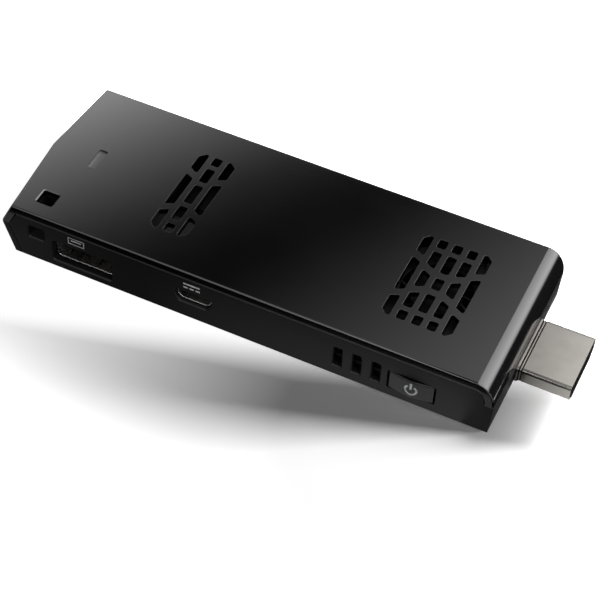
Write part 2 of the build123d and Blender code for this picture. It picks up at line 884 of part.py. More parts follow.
# Screws: four through the board, three through the fan's feet, two through the heat spreader's legs
with BuildPart() as board_screws:
    add(make_screws(board_screw_places, board_top, screw_length))
board_screws.part.label = "board_screws"
export_step(board_screws.part, "parts/board_screws.step")

with BuildPart() as fan_screws:
    add(make_screws(fan_screw_places, fan_floor_top, fan_screw_length))
fan_screws.part.label = "fan_screws"
export_step(fan_screws.part, "parts/fan_screws.step")

with BuildPart() as spreader_screws:
    add(make_screws(spreader_screw_places, spreader_top, spreader_screw_length))
spreader_screws.part.label = "spreader_screws"
export_step(spreader_screws.part, "parts/spreader_screws.step")

# Processor with its bare die
with BuildPart() as processor_package:
    block(cpu_width, cpu_length, cpu_height, cpu_x, 0, board_top)
processor_package.part.label = "processor_package"
export_step(processor_package.part, "parts/processor_package.step")

with BuildPart() as processor_die:
    block(die_share * cpu_width, die_share * cpu_length, die_height, cpu_x, 0, board_top + cpu_height)
processor_die.part.label = "processor_die"
export_step(processor_die.part, "parts/processor_die.step")

# Memory: two chips over the board and two under it
with BuildPart() as memory_chips:
    memory_places = ((memory_x, memory_y), (memory_x, memory_low_y))
    for base in (board_top, board_base - memory_height):
        blocks(memory_width, memory_length, memory_height, memory_places, base)
memory_chips.part.label = "memory_chips"
export_step(memory_chips.part, "parts/memory_chips.step")

# Storage chip
with BuildPart() as storage_chip:
    block(
        storage_width, storage_high_y - storage_low_y, storage_height,
        body_left + storage_inset, (storage_high_y + storage_low_y) / 2, board_top,
    )
storage_chip.part.label = "storage_chip"
export_step(storage_chip.part, "parts/storage_chip.step")

# Power chip with its row of inductors
power_chip_x = cpu_left + power_chip_offset
with BuildPart() as power_chip:
    block(power_chip_size, power_chip_size, power_chip_height, power_chip_x, power_chip_y, board_top)
power_chip.part.label = "power_chip"
export_step(power_chip.part, "parts/power_chip.step")

with BuildPart() as power_inductors:
    with BuildSketch(Plane.XY.offset(board_top)):
        for number in range(inductor_count):
            with Locations((cpu_left + inductor_offset + number * inductor_pitch, power_chip_y)):
                RectangleRounded(inductor_size, inductor_size, inductor_round)
    extrude(amount=inductor_height)
power_inductors.part.label = "power_inductors"
export_step(power_inductors.part, "parts/power_inductors.step")

# Clock crystal
with BuildPart() as crystal:
    with BuildSketch(Plane.XY.offset(board_top)):
        with Locations((memory_x, power_chip_y)):
            RectangleRounded(crystal_length, crystal_width, inductor_round)
    extrude(amount=crystal_height)
crystal.part.label = "crystal"
export_step(crystal.part, "parts/crystal.step")

# Small capacitors on both sides of the board
with BuildPart() as capacitors:
    top_places = [(fan_left - capacitor_fan_gap, share * board_edge) for share in fan_row_shares]
    top_places += [(board_left + capacitor_edge_inset, share * board_edge) for share in left_row_shares]
    top_places += [
        (cpu_left + share * cpu_width, front_row_edge_share * board_edge) for share in front_row_shares
    ]
    low_places = [
        (cpu_x + share * cpu_width, side * low_row_edge_share * board_edge)
        for side in (1, -1) for share in low_row_shares
    ]
    blocks(capacitor_width, capacitor_length, capacitor_height, top_places, board_top)
    blocks(
        capacitor_width, capacitor_length, capacitor_height, low_places, board_base - capacitor_height,
    )
capacitors.part.label = "capacitors"
export_step(capacitors.part, "parts/capacitors.step")

# Status light under the window's leg
with BuildPart() as status_led:
    block(led_length, led_width, led_height, window_x, 0, board_top)
status_led.part.label = "status_led"
export_step(status_led.part, "parts/status_led.step")

# Wireless module: a small board under a sheet metal shield, with two antenna jacks
with BuildPart() as wireless_board:
    block(wireless_width, wireless_length, wireless_board_height, wireless_x, wireless_y, board_top)
wireless_board.part.label = "wireless_board"
export_step(wireless_board.part, "parts/wireless_board.step")

with BuildPart() as wireless_shield:
    shield_width = wireless_width - 2 * wireless_shield_inset
    shield_length = wireless_length - 2 * wireless_shield_inset
    shield_base = board_top + wireless_board_height
    block(shield_width, shield_length, wireless_shield_height, wireless_x, wireless_y, shield_base)
    block(
        shield_width - 2 * card_sheet, shield_length - 2 * card_sheet, wireless_shield_height - card_sheet,
        wireless_x, wireless_y, shield_base, Mode.SUBTRACT,
    )
wireless_shield.part.label = "wireless_shield"
export_step(wireless_shield.part, "parts/wireless_shield.step")

with BuildPart() as antenna_jacks:
    for y in (main_jack_y, aux_jack_y):
        rod(jack_radius, jack_height, jack_x, y, wireless_top)
antenna_jacks.part.label = "antenna_jacks"
export_step(antenna_jacks.part, "parts/antenna_jacks.step")

# Antennas: thin boards that stand in the pointed end of the case, glued to ribs
with BuildPart() as main_antenna:
    block(antenna_thickness, main_antenna_length, antenna_height, antenna_x, main_antenna_y, wall)
main_antenna.part.label = "main_antenna"
export_step(main_antenna.part, "parts/main_antenna.step")

with BuildPart() as aux_antenna:
    block(antenna_thickness, aux_antenna_length, antenna_height, antenna_x, aux_antenna_y, wall)
aux_antenna.part.label = "aux_antenna"
export_step(aux_antenna.part, "parts/aux_antenna.step")

# Antenna leads: thin coaxial wires from each antenna to its jack
lead_start = antenna_x + antenna_thickness / 2
lead_end = jack_x - jack_radius
aux_feed_y = aux_antenna_y + aux_antenna_length / 2 - lead_feed_inset
aux_lead_bend = lead_bend_share * min(aux_lead_run, (aux_jack_y - aux_feed_y) / 2)
main_feed_y = main_jack_y
with BuildPart() as main_antenna_lead:
    with BuildLine() as main_route:
        Line((lead_start, main_feed_y, lead_z), (lead_end, main_jack_y, lead_z))
    with BuildSketch(Plane(main_route.line @ 0, z_dir=main_route.line % 0)):
        Circle(lead_radius)
    sweep(path=main_route.line)
main_antenna_lead.part.label = "main_antenna_lead"
export_step(main_antenna_lead.part, "parts/main_antenna_lead.step")

with BuildPart() as aux_antenna_lead:
    with BuildLine() as aux_route:
        FilletPolyline(
            (lead_start, aux_feed_y, lead_z), (lead_start + aux_lead_run, aux_feed_y, lead_z),
            (lead_start + aux_lead_run, aux_jack_y, lead_z), (lead_end, aux_jack_y, lead_z),
            radius=aux_lead_bend,
        )
    with BuildSketch(Plane(aux_route.line @ 0, z_dir=aux_route.line % 0)):
        Circle(lead_radius)
    sweep(path=aux_route.line)
aux_antenna_lead.part.label = "aux_antenna_lead"
export_step(aux_antenna_lead.part, "parts/aux_antenna_lead.step")

# Heat spreader: a plate over the processor with an arm of fins before the fan's outlet
with BuildPart() as thermal_pad:
    block(
        die_share * cpu_width + 2 * pad_margin, die_share * cpu_length + 2 * pad_margin, pad_height,
        cpu_x, 0, pad_base,
    )
thermal_pad.part.label = "thermal_pad"
export_step(thermal_pad.part, "parts/thermal_pad.step")

with BuildPart() as heat_spreader:
    with BuildSketch(Plane.XY.offset(spreader_base)):
        plate_left = cpu_x - spreader_left_reach
        plate_right = cpu_x + spreader_right_reach
        with Locations(((plate_left + plate_right) / 2, 0)):
            RectangleRounded(plate_right - plate_left, 2 * spreader_half_length, spreader_round)
        arm_left = cpu_x + spreader_arm_start
        with Locations((arm_left, arm_low_y)):
            Rectangle(arm_right - arm_left, arm_high_y - arm_low_y, align=(Align.MIN, Align.MIN))
        with Locations((arm_left, arm_high_y)):
            Rectangle(plate_right - arm_left, spreader_round, align=(Align.MIN, Align.CENTER))
        with Locations(spreader_screw_places):
            Circle(screw_radius + screw_clearance, mode=Mode.SUBTRACT)
    extrude(amount=spreader_thickness)
    for x, y in spreader_screw_places:
        rod(spreader_leg_radius, spreader_base - board_top, x, y, board_top)
        rod(screw_radius + screw_clearance, spreader_top - board_top, x, y, board_top, Mode.SUBTRACT)
    fin_base = board_top + fin_gap
    fin_top = fan_top + fan_cover_thickness
    fin_places = [
        (arm_right - fin_thickness / 2 - number * fin_pitch, (arm_high_y + arm_low_y) / 2)
        for number in range(fin_count)
    ]
    blocks(fin_thickness, arm_high_y - arm_low_y, fin_top - fin_base, fin_places, fin_base)
heat_spreader.part.label = "heat_spreader"
export_step(heat_spreader.part, "parts/heat_spreader.step")


def draw_chamber(grow):
    """Plan of the fan's chamber, a circle with a straight outlet to the front, drawn out by grow."""
    with Locations((fan_x, 0)):
        Circle(fan_chamber_radius + grow)
    outlet_left = fan_x - fan_outlet_left - grow
    outlet_width = fan_outlet_left - fan_outlet_right + 2 * grow
    with Locations((outlet_left, 0)):
        Rectangle(outlet_width, fan_size / 2, align=(Align.MIN, Align.MAX))


# Fan housing: a square floor with feet, a chamber wall and the bearing tube
with BuildPart() as fan_housing:
    with BuildSketch(Plane.XY.offset(fan_base)):
        with Locations((fan_x, 0)):
            RectangleRounded(fan_size, fan_size, fan_corner_round)
        with Locations(fan_screw_places):
            Circle(screw_radius + screw_clearance, mode=Mode.SUBTRACT)
    extrude(amount=fan_floor)
    for x, y in fan_screw_places:
        rod(fan_foot_radius, fan_foot, x, y, board_top)
        rod(screw_radius + screw_clearance, fan_foot, x, y, board_top, Mode.SUBTRACT)
    with BuildSketch(Plane.XY.offset(fan_floor_top)) as chamber_wall:
        draw_chamber(fan_wall)
        with BuildSketch(mode=Mode.PRIVATE) as chamber:
            draw_chamber(0)
        add(chamber.sketch, mode=Mode.SUBTRACT)
    extrude(amount=fan_top - fan_floor_top)
    rod(fan_tube_radius, fan_tube_height, fan_x, 0, fan_floor_top)
    rod(bearing_radius, fan_tube_height, fan_x, 0, fan_floor_top, Mode.SUBTRACT)
fan_housing.part.label = "fan_housing"
export_step(fan_housing.part, "parts/fan_housing.step")

with BuildPart() as fan_cover:
    with BuildSketch(Plane.XY.offset(fan_top)):
        draw_chamber(fan_wall)
        with Locations((fan_x, 0)):
            Circle(fan_inlet_radius, mode=Mode.SUBTRACT)
    extrude(amount=fan_cover_thickness)
fan_cover.part.label = "fan_cover"
export_step(fan_cover.part, "parts/fan_cover.step")

with BuildPart() as fan_bearing:
    rod(bearing_radius, fan_tube_height, fan_x, 0, fan_floor_top)
    rod(shaft_radius + shaft_clearance, fan_tube_height, fan_x, 0, fan_floor_top, Mode.SUBTRACT)
fan_bearing.part.label = "fan_bearing"
export_step(fan_bearing.part, "parts/fan_bearing.step")

# Fan motor: a six armed core with its coils, and a magnet ring inside the hub
stator_base = fan_floor_top + stator_lift
shoe_inner = stator_outer_radius - stator_shoe_thickness
with BuildPart() as fan_stator:
    with BuildSketch(Plane.XY.offset(stator_base)):
        with Locations((fan_x, 0)):
            Circle(stator_yoke_radius)
            with PolarLocations(stator_yoke_radius - coil_wall, stator_arm_count):
                arm_length = shoe_inner - stator_yoke_radius + 2 * coil_wall
                Rectangle(arm_length, stator_arm_width, align=(Align.MIN, Align.CENTER))
            with PolarLocations(shoe_inner, stator_arm_count):
                Rectangle(stator_shoe_thickness, stator_shoe_width, align=(Align.MIN, Align.CENTER))
            Circle(fan_tube_radius, mode=Mode.SUBTRACT)
    extrude(amount=stator_height)
fan_stator.part.label = "fan_stator"
export_step(fan_stator.part, "parts/fan_stator.step")

with BuildPart() as stator_coils:
    coil_length = shoe_inner - stator_yoke_radius - 2 * coil_inset
    with Locations((fan_x, 0, stator_base + stator_height / 2)):
        with PolarLocations(stator_yoke_radius + coil_inset, stator_arm_count):
            Box(
                coil_length, stator_arm_width + 2 * coil_wall, stator_height + 2 * coil_wall,
                align=(Align.MIN, Align.CENTER, Align.CENTER),
            )
            Box(
                coil_length, stator_arm_width, stator_height,
                align=(Align.MIN, Align.CENTER, Align.CENTER), mode=Mode.SUBTRACT,
            )
stator_coils.part.label = "stator_coils"
export_step(stator_coils.part, "parts/stator_coils.step")

# Impeller: a cup shaped hub with a boss, bowed blades and a thin ring that joins their tips
with BuildPart() as fan_impeller:
    rod(hub_radius, rotor_height, fan_x, 0, rotor_base)
    with BuildSketch(Plane.XY.offset(rotor_base)):
        with Locations((fan_x, 0)):
            Circle(blade_tip_radius)
            Circle(blade_tip_radius - shroud_width, mode=Mode.SUBTRACT)
    extrude(amount=shroud_height)
    blade_root = hub_radius - hub_wall / 2
    blade_tip = blade_tip_radius - shroud_width / 2
    for number in range(blade_count):
        turn = number * 360 / blade_count
        root_point = Vector(fan_x, 0) + Vector(blade_root, 0).rotate(Axis.Z, turn)
        tip_point = Vector(fan_x, 0) + Vector(blade_tip, 0).rotate(Axis.Z, turn - blade_lean)
        with BuildLine() as blade_spine:
            SagittaArc(root_point, tip_point, blade_bow)
        with BuildSketch(Plane.XY.offset(rotor_base)):
            SlotArc(blade_spine.edges()[0], blade_thickness)
        extrude(amount=rotor_height)
    rod(hub_radius - hub_wall, rotor_height - hub_roof, fan_x, 0, rotor_base, Mode.SUBTRACT)
    rod(hub_boss_radius, rotor_top - boss_base, fan_x, 0, boss_base)
    rod(shaft_radius, rotor_height, fan_x, 0, rotor_base, Mode.SUBTRACT)
fan_impeller.part.label = "fan_impeller"
export_step(fan_impeller.part, "parts/fan_impeller.step")

with BuildPart() as rotor_magnet:
    magnet_outer = hub_radius - hub_wall - magnet_gap
    magnet_base = rotor_top - hub_roof - magnet_gap - magnet_height
    rod(magnet_outer, magnet_height, fan_x, 0, magnet_base)
    rod(magnet_outer - magnet_thickness, magnet_height, fan_x, 0, magnet_base, Mode.SUBTRACT)
rotor_magnet.part.label = "rotor_magnet"
export_step(rotor_magnet.part, "parts/rotor_magnet.step")

with BuildPart() as fan_shaft:
    rod(shaft_radius, rotor_top - shaft_base, fan_x, 0, shaft_base)
fan_shaft.part.label = "fan_shaft"
export_step(fan_shaft.part, "parts/fan_shaft.step")

# Fan lead: a wire from the motor to a connector behind the fan
connector_x = fan_x + connector_offset
connector_y = board_edge - connector_back_gap - connector_width / 2
with BuildPart() as fan_connector:
    block(connector_length, connector_width, connector_height, connector_x, connector_y, board_top)
fan_connector.part.label = "fan_connector"
export_step(fan_connector.part, "parts/fan_connector.step")

with BuildPart() as fan_lead:
    lead_height = fan_floor_top + fan_lead_radius
    wall_radius = fan_chamber_radius + fan_wall
    for side in (1, -1):
        shift = side * fan_lead_pitch / 2
        wire_offset = fan_lead_offset - shift
        wire_start = sqrt(wall_radius ** 2 - (wire_offset - fan_lead_radius) ** 2)
        wire_end = connector_x - connector_length / 2
        fan_lead_bend = fan_lead_bend_share * min(
            wire_end - fan_x - wire_offset, connector_y + shift - wire_start
        )
        with BuildLine() as wire_route:
            FilletPolyline(
                (fan_x + wire_offset, wire_start, lead_height),
                (fan_x + wire_offset, connector_y + shift, lead_height),
                (wire_end, connector_y + shift, lead_height),
                radius=fan_lead_bend,
            )
        with BuildSketch(Plane(wire_route.line @ 0, z_dir=wire_route.line % 0)):
            Circle(fan_lead_radius)
        sweep(path=wire_route.line)
fan_lead.part.label = "fan_lead"
export_step(fan_lead.part, "parts/fan_lead.step")

# Display plug: a plated shell with a collar and two grooves at its root, and solder tabs on the board
collar_start = body_right + plug_collar_start
with BuildPart() as plug_grooves:
    for number in range(2):
        groove_x = collar_start + plug_collar_width + number * plug_groove_pitch
        with BuildSketch(Plane.YZ.offset(groove_x)):
            draw_plug(plug_collar)
        extrude(amount=plug_groove_width)
    with BuildSketch(Plane.YZ.offset(body_right)):
        draw_plug(-plug_groove_depth)
    extrude(amount=plug_reach, mode=Mode.SUBTRACT)

with BuildPart() as hdmi_shell:
    with BuildSketch(Plane.YZ.offset(plug_back)):
        draw_plug(0)
    extrude(amount=plug_tip - plug_back)
    with BuildSketch(Plane.YZ.offset(collar_start)):
        draw_plug(plug_collar)
    extrude(amount=plug_collar_width)
    add(plug_grooves.part, mode=Mode.SUBTRACT)
    for side in (1, -1):
        block(
            plug_tab_length + plug_tab_grip, plug_tab_width, plug_tab_thickness,
            plug_back + (plug_tab_grip - plug_tab_length) / 2,
            side * (plug_half_width - plug_sheet + plug_tab_width / 2), board_top,
        )
    with BuildSketch(Plane.YZ.offset(plug_back)):
        draw_plug(-plug_sheet)
    extrude(amount=plug_tip - plug_back, mode=Mode.SUBTRACT)
hdmi_shell.part.label = "hdmi_shell"
export_step(hdmi_shell.part, "parts/hdmi_shell.step")


def make_plug_contacts():
    """Two staggered rows of contacts. Each is a strip that runs into the mouth from a foot on the board."""
    front = plug_tip - plug_insulator_recess - plug_contact_recess
    foot_end = plug_back - plug_contact_bend
    with BuildPart() as contacts:
        for side, count in ((1, plug_top_contacts), (-1, plug_low_contacts)):
            surface = board_top if side > 0 else board_base
            strip_middle = plug_centre + side * plug_mouth_height / 2
            strip_outer = strip_middle + side * plug_contact_thickness / 2
            riser_low = min(surface, strip_outer)
            riser_height = abs(strip_outer - surface)
            foot_low = min(surface, surface + side * plug_contact_thickness)
            rows = [(number - (count - 1) / 2) * plug_contact_pitch for number in range(count)]
            foot_length = plug_contact_foot - plug_contact_bend
            foot_middle = foot_end + plug_contact_thickness - foot_length / 2
            riser_middle = foot_end + plug_contact_thickness / 2
            blocks(
                front - foot_end, plug_contact_width, plug_contact_thickness,
                [((front + foot_end) / 2, y) for y in rows], strip_middle - plug_contact_thickness / 2,
            )
            blocks(
                plug_contact_thickness, plug_contact_width, riser_height,
                [(riser_middle, y) for y in rows], riser_low,
            )
            blocks(
                foot_length, plug_contact_width, plug_contact_thickness,
                [(foot_middle, y) for y in rows], foot_low,
            )
    return contacts.part


with BuildPart() as hdmi_contacts:
    add(make_plug_contacts())
hdmi_contacts.part.label = "hdmi_contacts"
export_step(hdmi_contacts.part, "parts/hdmi_contacts.step")

with BuildPart() as hdmi_insulator:
    insulator_front = plug_tip - plug_insulator_recess
    with BuildSketch(Plane.YZ.offset(plug_back)):
        draw_plug(-plug_sheet)
    extrude(amount=insulator_front - plug_back)
    block(
        plug_mouth_depth, 2 * plug_mouth_half_width, plug_mouth_height,
        insulator_front - plug_mouth_depth / 2, 0, plug_centre - plug_mouth_height / 2, Mode.SUBTRACT,
    )
    add(make_plug_contacts(), mode=Mode.SUBTRACT)
hdmi_insulator.part.label = "hdmi_insulator"
export_step(hdmi_insulator.part, "parts/hdmi_insulator.step")

# Wide port: a rolled shell with spring fingers in its floor and roof, and tabs on the board
with BuildPart() as usb_a_shell:
    with BuildSketch(Plane.XZ.offset(-usb_front)):
        with Locations((usb_x, usb_height)):
            RectangleRounded(usb_inner_width + 2 * usb_sheet, usb_inner_height + 2 * usb_sheet, usb_round)
            RectangleRounded(
                usb_inner_width, usb_inner_height, usb_round - usb_sheet, mode=Mode.SUBTRACT,
            )
    extrude(amount=-usb_depth)
    slot_start = usb_front + usb_spring_recess
    slot_end = slot_start + usb_spring_length
    for offset_side in (1, -1):
        finger_x = usb_x + offset_side * usb_spring_offset
        for level, inward in ((usb_low - usb_sheet, 1), (usb_high, -1)):
            for edge in (1, -1):
                block(
                    usb_spring_slot, usb_spring_length, usb_sheet,
                    finger_x + edge * (usb_spring_width + usb_spring_slot) / 2,
                    (slot_start + slot_end) / 2, level, Mode.SUBTRACT,
                )
            block(
                usb_spring_width + 2 * usb_spring_slot, usb_spring_slot, usb_sheet,
                finger_x, slot_end - usb_spring_slot / 2, level, Mode.SUBTRACT,
            )
            bump_end = slot_end - usb_spring_slot
            bump_start = bump_end - usb_bump_length
            surface = usb_low if inward > 0 else usb_high
            with BuildSketch(Plane.YZ.offset(finger_x - usb_spring_width / 2)):
                bump = Polygon(
                    (bump_start, surface), (bump_end, surface),
                    (bump_end - usb_bump_length / 4, surface + inward * usb_spring_bump),
                    (bump_end - usb_bump_length / 2, surface + inward * usb_spring_bump),
                    align=None,
                )
            extrude(amount=usb_spring_width)
    for side in (1, -1):
        block(
            usb_tab_reach + usb_sheet, usb_tab_length, usb_sheet,
            usb_x + side * (usb_inner_width + usb_sheet + usb_tab_reach) / 2,
            usb_front + usb_tab_inset, board_top,
        )
usb_a_shell.part.label = "usb_a_shell"
export_step(usb_a_shell.part, "parts/usb_a_shell.step")

usb_tongue_base = board_top + usb_contact_thickness / 2
usb_tongue_front = usb_front + usb_tongue_recess
usb_contact_columns = [
    usb_x + side * offset for offset in (usb_contact_inner, usb_contact_outer) for side in (1, -1)
]
with BuildPart() as usb_a_contacts:
    contact_front = usb_tongue_front + usb_contact_recess
    contact_length = usb_back + usb_foot - contact_front
    blocks(
        usb_contact_width, contact_length, usb_contact_thickness,
        [(x, contact_front + contact_length / 2) for x in usb_contact_columns], board_top,
    )
usb_a_contacts.part.label = "usb_a_contacts"
export_step(usb_a_contacts.part, "parts/usb_a_contacts.step")

with BuildPart() as usb_a_tongue:
    with BuildSketch(Plane.XZ.offset(-usb_back)):
        with Locations((usb_x, usb_height)):
            RectangleRounded(usb_inner_width, usb_inner_height, usb_round - usb_sheet)
    extrude(amount=usb_block_depth)
    tongue_length = usb_back - usb_tongue_front
    block(
        usb_tongue_width, tongue_length, usb_tongue_thickness,
        usb_x, usb_tongue_front + tongue_length / 2, usb_tongue_base,
    )
    blocks(
        usb_contact_width, contact_length, usb_contact_thickness,
        [(x, contact_front + contact_length / 2) for x in usb_contact_columns], board_top, Mode.SUBTRACT,
    )
usb_a_tongue.part.label = "usb_a_tongue"
export_step(usb_a_tongue.part, "parts/usb_a_tongue.step")

# Small power port: a folded shell on the board's front edge, with its tongue and five contacts
with BuildPart() as micro_usb_shell:
    with BuildSketch(Plane.XZ.offset(-micro_front)):
        draw_micro(0)
        with BuildSketch(mode=Mode.PRIVATE) as micro_mouth:
            draw_micro(-micro_sheet)
        add(micro_mouth.sketch, mode=Mode.SUBTRACT)
    extrude(amount=-micro_depth)
    for side in (1, -1):
        block(
            micro_tab_reach + micro_sheet, micro_tab_length, micro_tab_thickness,
            micro_x + side * (micro_base_half + micro_tab_reach / 2), micro_front + micro_tab_inset,
            board_top,
        )
micro_usb_shell.part.label = "micro_usb_shell"
export_step(micro_usb_shell.part, "parts/micro_usb_shell.step")

micro_tongue_base = board_top + micro_tongue_height
micro_contact_base = micro_tongue_base - micro_contact_thickness / 2
micro_contact_front = micro_front + micro_tongue_recess + micro_tab_thickness


def make_micro_contacts():
    """Five strips under the tongue that step down to feet on the board behind the port."""
    with BuildPart() as contacts:
        columns = [
            micro_x + (number - (micro_contact_count - 1) / 2) * micro_contact_pitch
            for number in range(micro_contact_count)
        ]
        strip_length = micro_back + micro_contact_thickness - micro_contact_front
        blocks(
            micro_contact_width, strip_length, micro_contact_thickness,
            [(x, micro_contact_front + strip_length / 2) for x in columns], micro_contact_base,
        )
        blocks(
            micro_contact_width, micro_contact_thickness, micro_contact_base - board_top,
            [(x, micro_back + micro_contact_thickness / 2) for x in columns], board_top,
        )
        blocks(
            micro_contact_width, micro_foot, micro_contact_thickness,
            [(x, micro_back + micro_foot / 2) for x in columns], board_top,
        )
    return contacts.part


with BuildPart() as micro_usb_contacts:
    add(make_micro_contacts())
micro_usb_contacts.part.label = "micro_usb_contacts"
export_step(micro_usb_contacts.part, "parts/micro_usb_contacts.step")

with BuildPart() as micro_usb_tongue:
    with BuildSketch(Plane.XZ.offset(-micro_back)):
        draw_micro(-micro_sheet)
    extrude(amount=micro_block_depth)
    tongue_front = micro_front + micro_tongue_recess
    block(
        micro_tongue_width, micro_back - tongue_front, micro_tongue_thickness,
        micro_x, (micro_back + tongue_front) / 2, micro_tongue_base,
    )
    add(make_micro_contacts(), mode=Mode.SUBTRACT)
micro_usb_tongue.part.label = "micro_usb_tongue"
export_step(micro_usb_tongue.part, "parts/micro_usb_tongue.step")

# Memory card slot behind the back wall: a sheet metal lid over a base with spring contacts
with BuildPart() as micro_sd_shell:
    block(card_width, card_depth, card_height, card_x, card_front + card_depth / 2, board_top)
    block(
        card_width - 2 * card_sheet, card_depth, card_height - card_sheet,
        card_x, card_front + card_depth / 2, board_top, Mode.SUBTRACT,
    )
micro_sd_shell.part.label = "micro_sd_shell"
export_step(micro_sd_shell.part, "parts/micro_sd_shell.step")

with BuildPart() as micro_sd_base:
    block(
        card_width - 2 * card_sheet - 2 * card_base_inset, card_depth, card_base_thickness,
        card_x, card_front + card_depth / 2, board_top,
    )
micro_sd_base.part.label = "micro_sd_base"
export_step(micro_sd_base.part, "parts/micro_sd_base.step")

with BuildPart() as micro_sd_contacts:
    strip_base = board_top + card_base_thickness
    columns = [
        card_x + (number - (card_contact_count - 1) / 2) * card_contact_pitch
        for number in range(card_contact_count)
    ]
    strip_start = card_front - card_contact_thickness
    strip_end = card_front + card_contact_inset + card_contact_length
    blocks(
        card_contact_width, strip_end - strip_start, card_contact_thickness,
        [(x, (strip_start + strip_end) / 2) for x in columns], strip_base,
    )
    blocks(
        card_contact_width, card_contact_thickness, card_base_thickness,
        [(x, card_front - card_contact_thickness / 2) for x in columns], board_top,
    )
    blocks(
        card_contact_width, card_foot, card_contact_thickness,
        [(x, card_front - card_foot / 2) for x in columns], board_top,
    )
micro_sd_contacts.part.label = "micro_sd_contacts"
export_step(micro_sd_contacts.part, "parts/micro_sd_contacts.step")

# Power button: a creased cap with a flange behind the wall and a stem that meets the switch
with BuildPart() as power_button:
    face_y = -half_width + button_face_gap
    flange_front = -wall_inner + button_flange_gap
    cap_height = button_opening_height - 2 * button_end_gap
    flange_width = button_opening_width + 2 * button_flange_reach
    flange_height = button_opening_height + 2 * button_flange_reach
    with BuildSketch(Plane.XY.offset(button_height - cap_height / 2)):
        Polygon(
            (button_x - button_width / 2, face_y), (button_x, face_y - button_crown),
            (button_x + button_width / 2, face_y), (button_x + button_width / 2, flange_front),
            (button_x - button_width / 2, flange_front),
            align=None,
        )
    extrude(amount=cap_height)
    cap_edges = power_button.edges().filter_by(lambda edge: edge.center().Y < face_y + match)
    fillet(cap_edges, button_round)
    block(
        flange_width, button_flange_thickness, flange_height,
        button_x, flange_front + button_flange_thickness / 2, button_height - flange_height / 2,
    )
    stem_start = flange_front + button_flange_thickness
    stem_end = plunger_tip - switch_touch_gap
    block(
        button_stem_width, stem_end - stem_start, button_stem_height,
        button_x, (stem_start + stem_end) / 2, switch_centre - button_stem_height / 2,
    )
power_button.part.label = "power_button"
export_step(power_button.part, "parts/power_button.step")

with BuildPart() as switch_plunger:
    plunger_end = switch_face + switch_plunger_depth
    block(
        switch_plunger_width, plunger_end - plunger_tip, switch_plunger_height,
        button_x, (plunger_end + plunger_tip) / 2, switch_centre - switch_plunger_height / 2,
    )
switch_plunger.part.label = "switch_plunger"
export_step(switch_plunger.part, "parts/switch_plunger.step")

with BuildPart() as switch_body:
    block(
        switch_width, switch_depth, switch_body_height,
        button_x, switch_face + switch_depth / 2, board_top,
    )
    guide_depth = switch_plunger_depth + button_travel + switch_plunger_gap
    guide_height = switch_plunger_height + 2 * switch_plunger_gap
    block(
        switch_plunger_width + 2 * switch_plunger_gap, guide_depth, guide_height,
        button_x, switch_face + guide_depth / 2, switch_centre - guide_height / 2, Mode.SUBTRACT,
    )
switch_body.part.label = "switch_body"
export_step(switch_body.part, "parts/switch_body.step")
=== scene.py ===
import bpy
import numpy as np
from mathutils import Matrix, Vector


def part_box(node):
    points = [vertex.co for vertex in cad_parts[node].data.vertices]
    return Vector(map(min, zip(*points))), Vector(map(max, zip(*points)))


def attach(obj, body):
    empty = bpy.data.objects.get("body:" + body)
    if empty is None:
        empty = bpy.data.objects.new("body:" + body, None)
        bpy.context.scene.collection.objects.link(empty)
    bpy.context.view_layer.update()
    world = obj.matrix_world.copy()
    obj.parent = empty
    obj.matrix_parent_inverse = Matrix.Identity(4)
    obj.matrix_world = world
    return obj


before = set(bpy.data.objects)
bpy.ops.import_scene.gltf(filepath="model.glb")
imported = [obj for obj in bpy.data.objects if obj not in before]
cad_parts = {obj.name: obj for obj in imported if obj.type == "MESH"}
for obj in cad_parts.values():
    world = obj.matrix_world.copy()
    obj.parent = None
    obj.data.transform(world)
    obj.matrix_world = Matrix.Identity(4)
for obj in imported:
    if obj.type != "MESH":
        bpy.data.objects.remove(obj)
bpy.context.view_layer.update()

# Camera: stands in front of the port side, high and a little to the plug's side, with a long lens, and
# leans slightly, as the photograph shows the computer.
camera_turn, camera_rise, camera_lean = np.radians((22.61, 48.32, 3.48))
camera_target = np.array((0.009337, -0.009852, 0.006))
camera_distance = 0.33858
ahead = np.array((-np.sin(camera_turn), np.cos(camera_turn), 0.0))
looking = np.cos(camera_rise) * ahead - np.sin(camera_rise) * np.array((0.0, 0.0, 1.0))
level_right = np.array((np.cos(camera_turn), np.sin(camera_turn), 0.0))
level_up = np.cross(level_right, looking)
camera_right = np.cos(camera_lean) * level_right + np.sin(camera_lean) * level_up
camera_up = -np.sin(camera_lean) * level_right + np.cos(camera_lean) * level_up
camera_data = bpy.data.cameras.new("camera")
sensor_width, picture_width, focal_pixels = 36.0, 600, 1797.56
camera_data.sensor_width = sensor_width
camera_data.lens = focal_pixels * sensor_width / picture_width
camera_data.clip_start = 0.01
camera = bpy.data.objects.new("camera", camera_data)
camera_axes = Matrix(np.column_stack((camera_right, camera_up, -looking)).tolist()).to_4x4()
camera.matrix_world = Matrix.Translation(camera_target - camera_distance * looking) @ camera_axes
bpy.context.scene.collection.objects.link(camera)
bpy.context.scene.camera = camera
bpy.context.scene.view_settings.view_transform = "Standard"


# Studio: a white floor in a white room. One low lamp from the right and a little behind throws the long soft
# shadow to the left, and a weak one fills from the front. Cards that only gloss sees make its light bands.
def link(tree, source, socket, target, name):
    """Joins the named output of one node to the named or numbered input of another."""
    tree.links.new(source.outputs[socket], target.inputs[name])


def worked(tree, operation, *operands):
    """A math node on two or three operands, each a number or a (node, socket) pair. Returns such a pair."""
    node = tree.nodes.new("ShaderNodeMath")
    node.operation = operation
    for place, operand in enumerate(operands):
        if isinstance(operand, tuple):
            link(tree, *operand, node, place)
        else:
            node.inputs[place].default_value = operand
    return node, "Value"


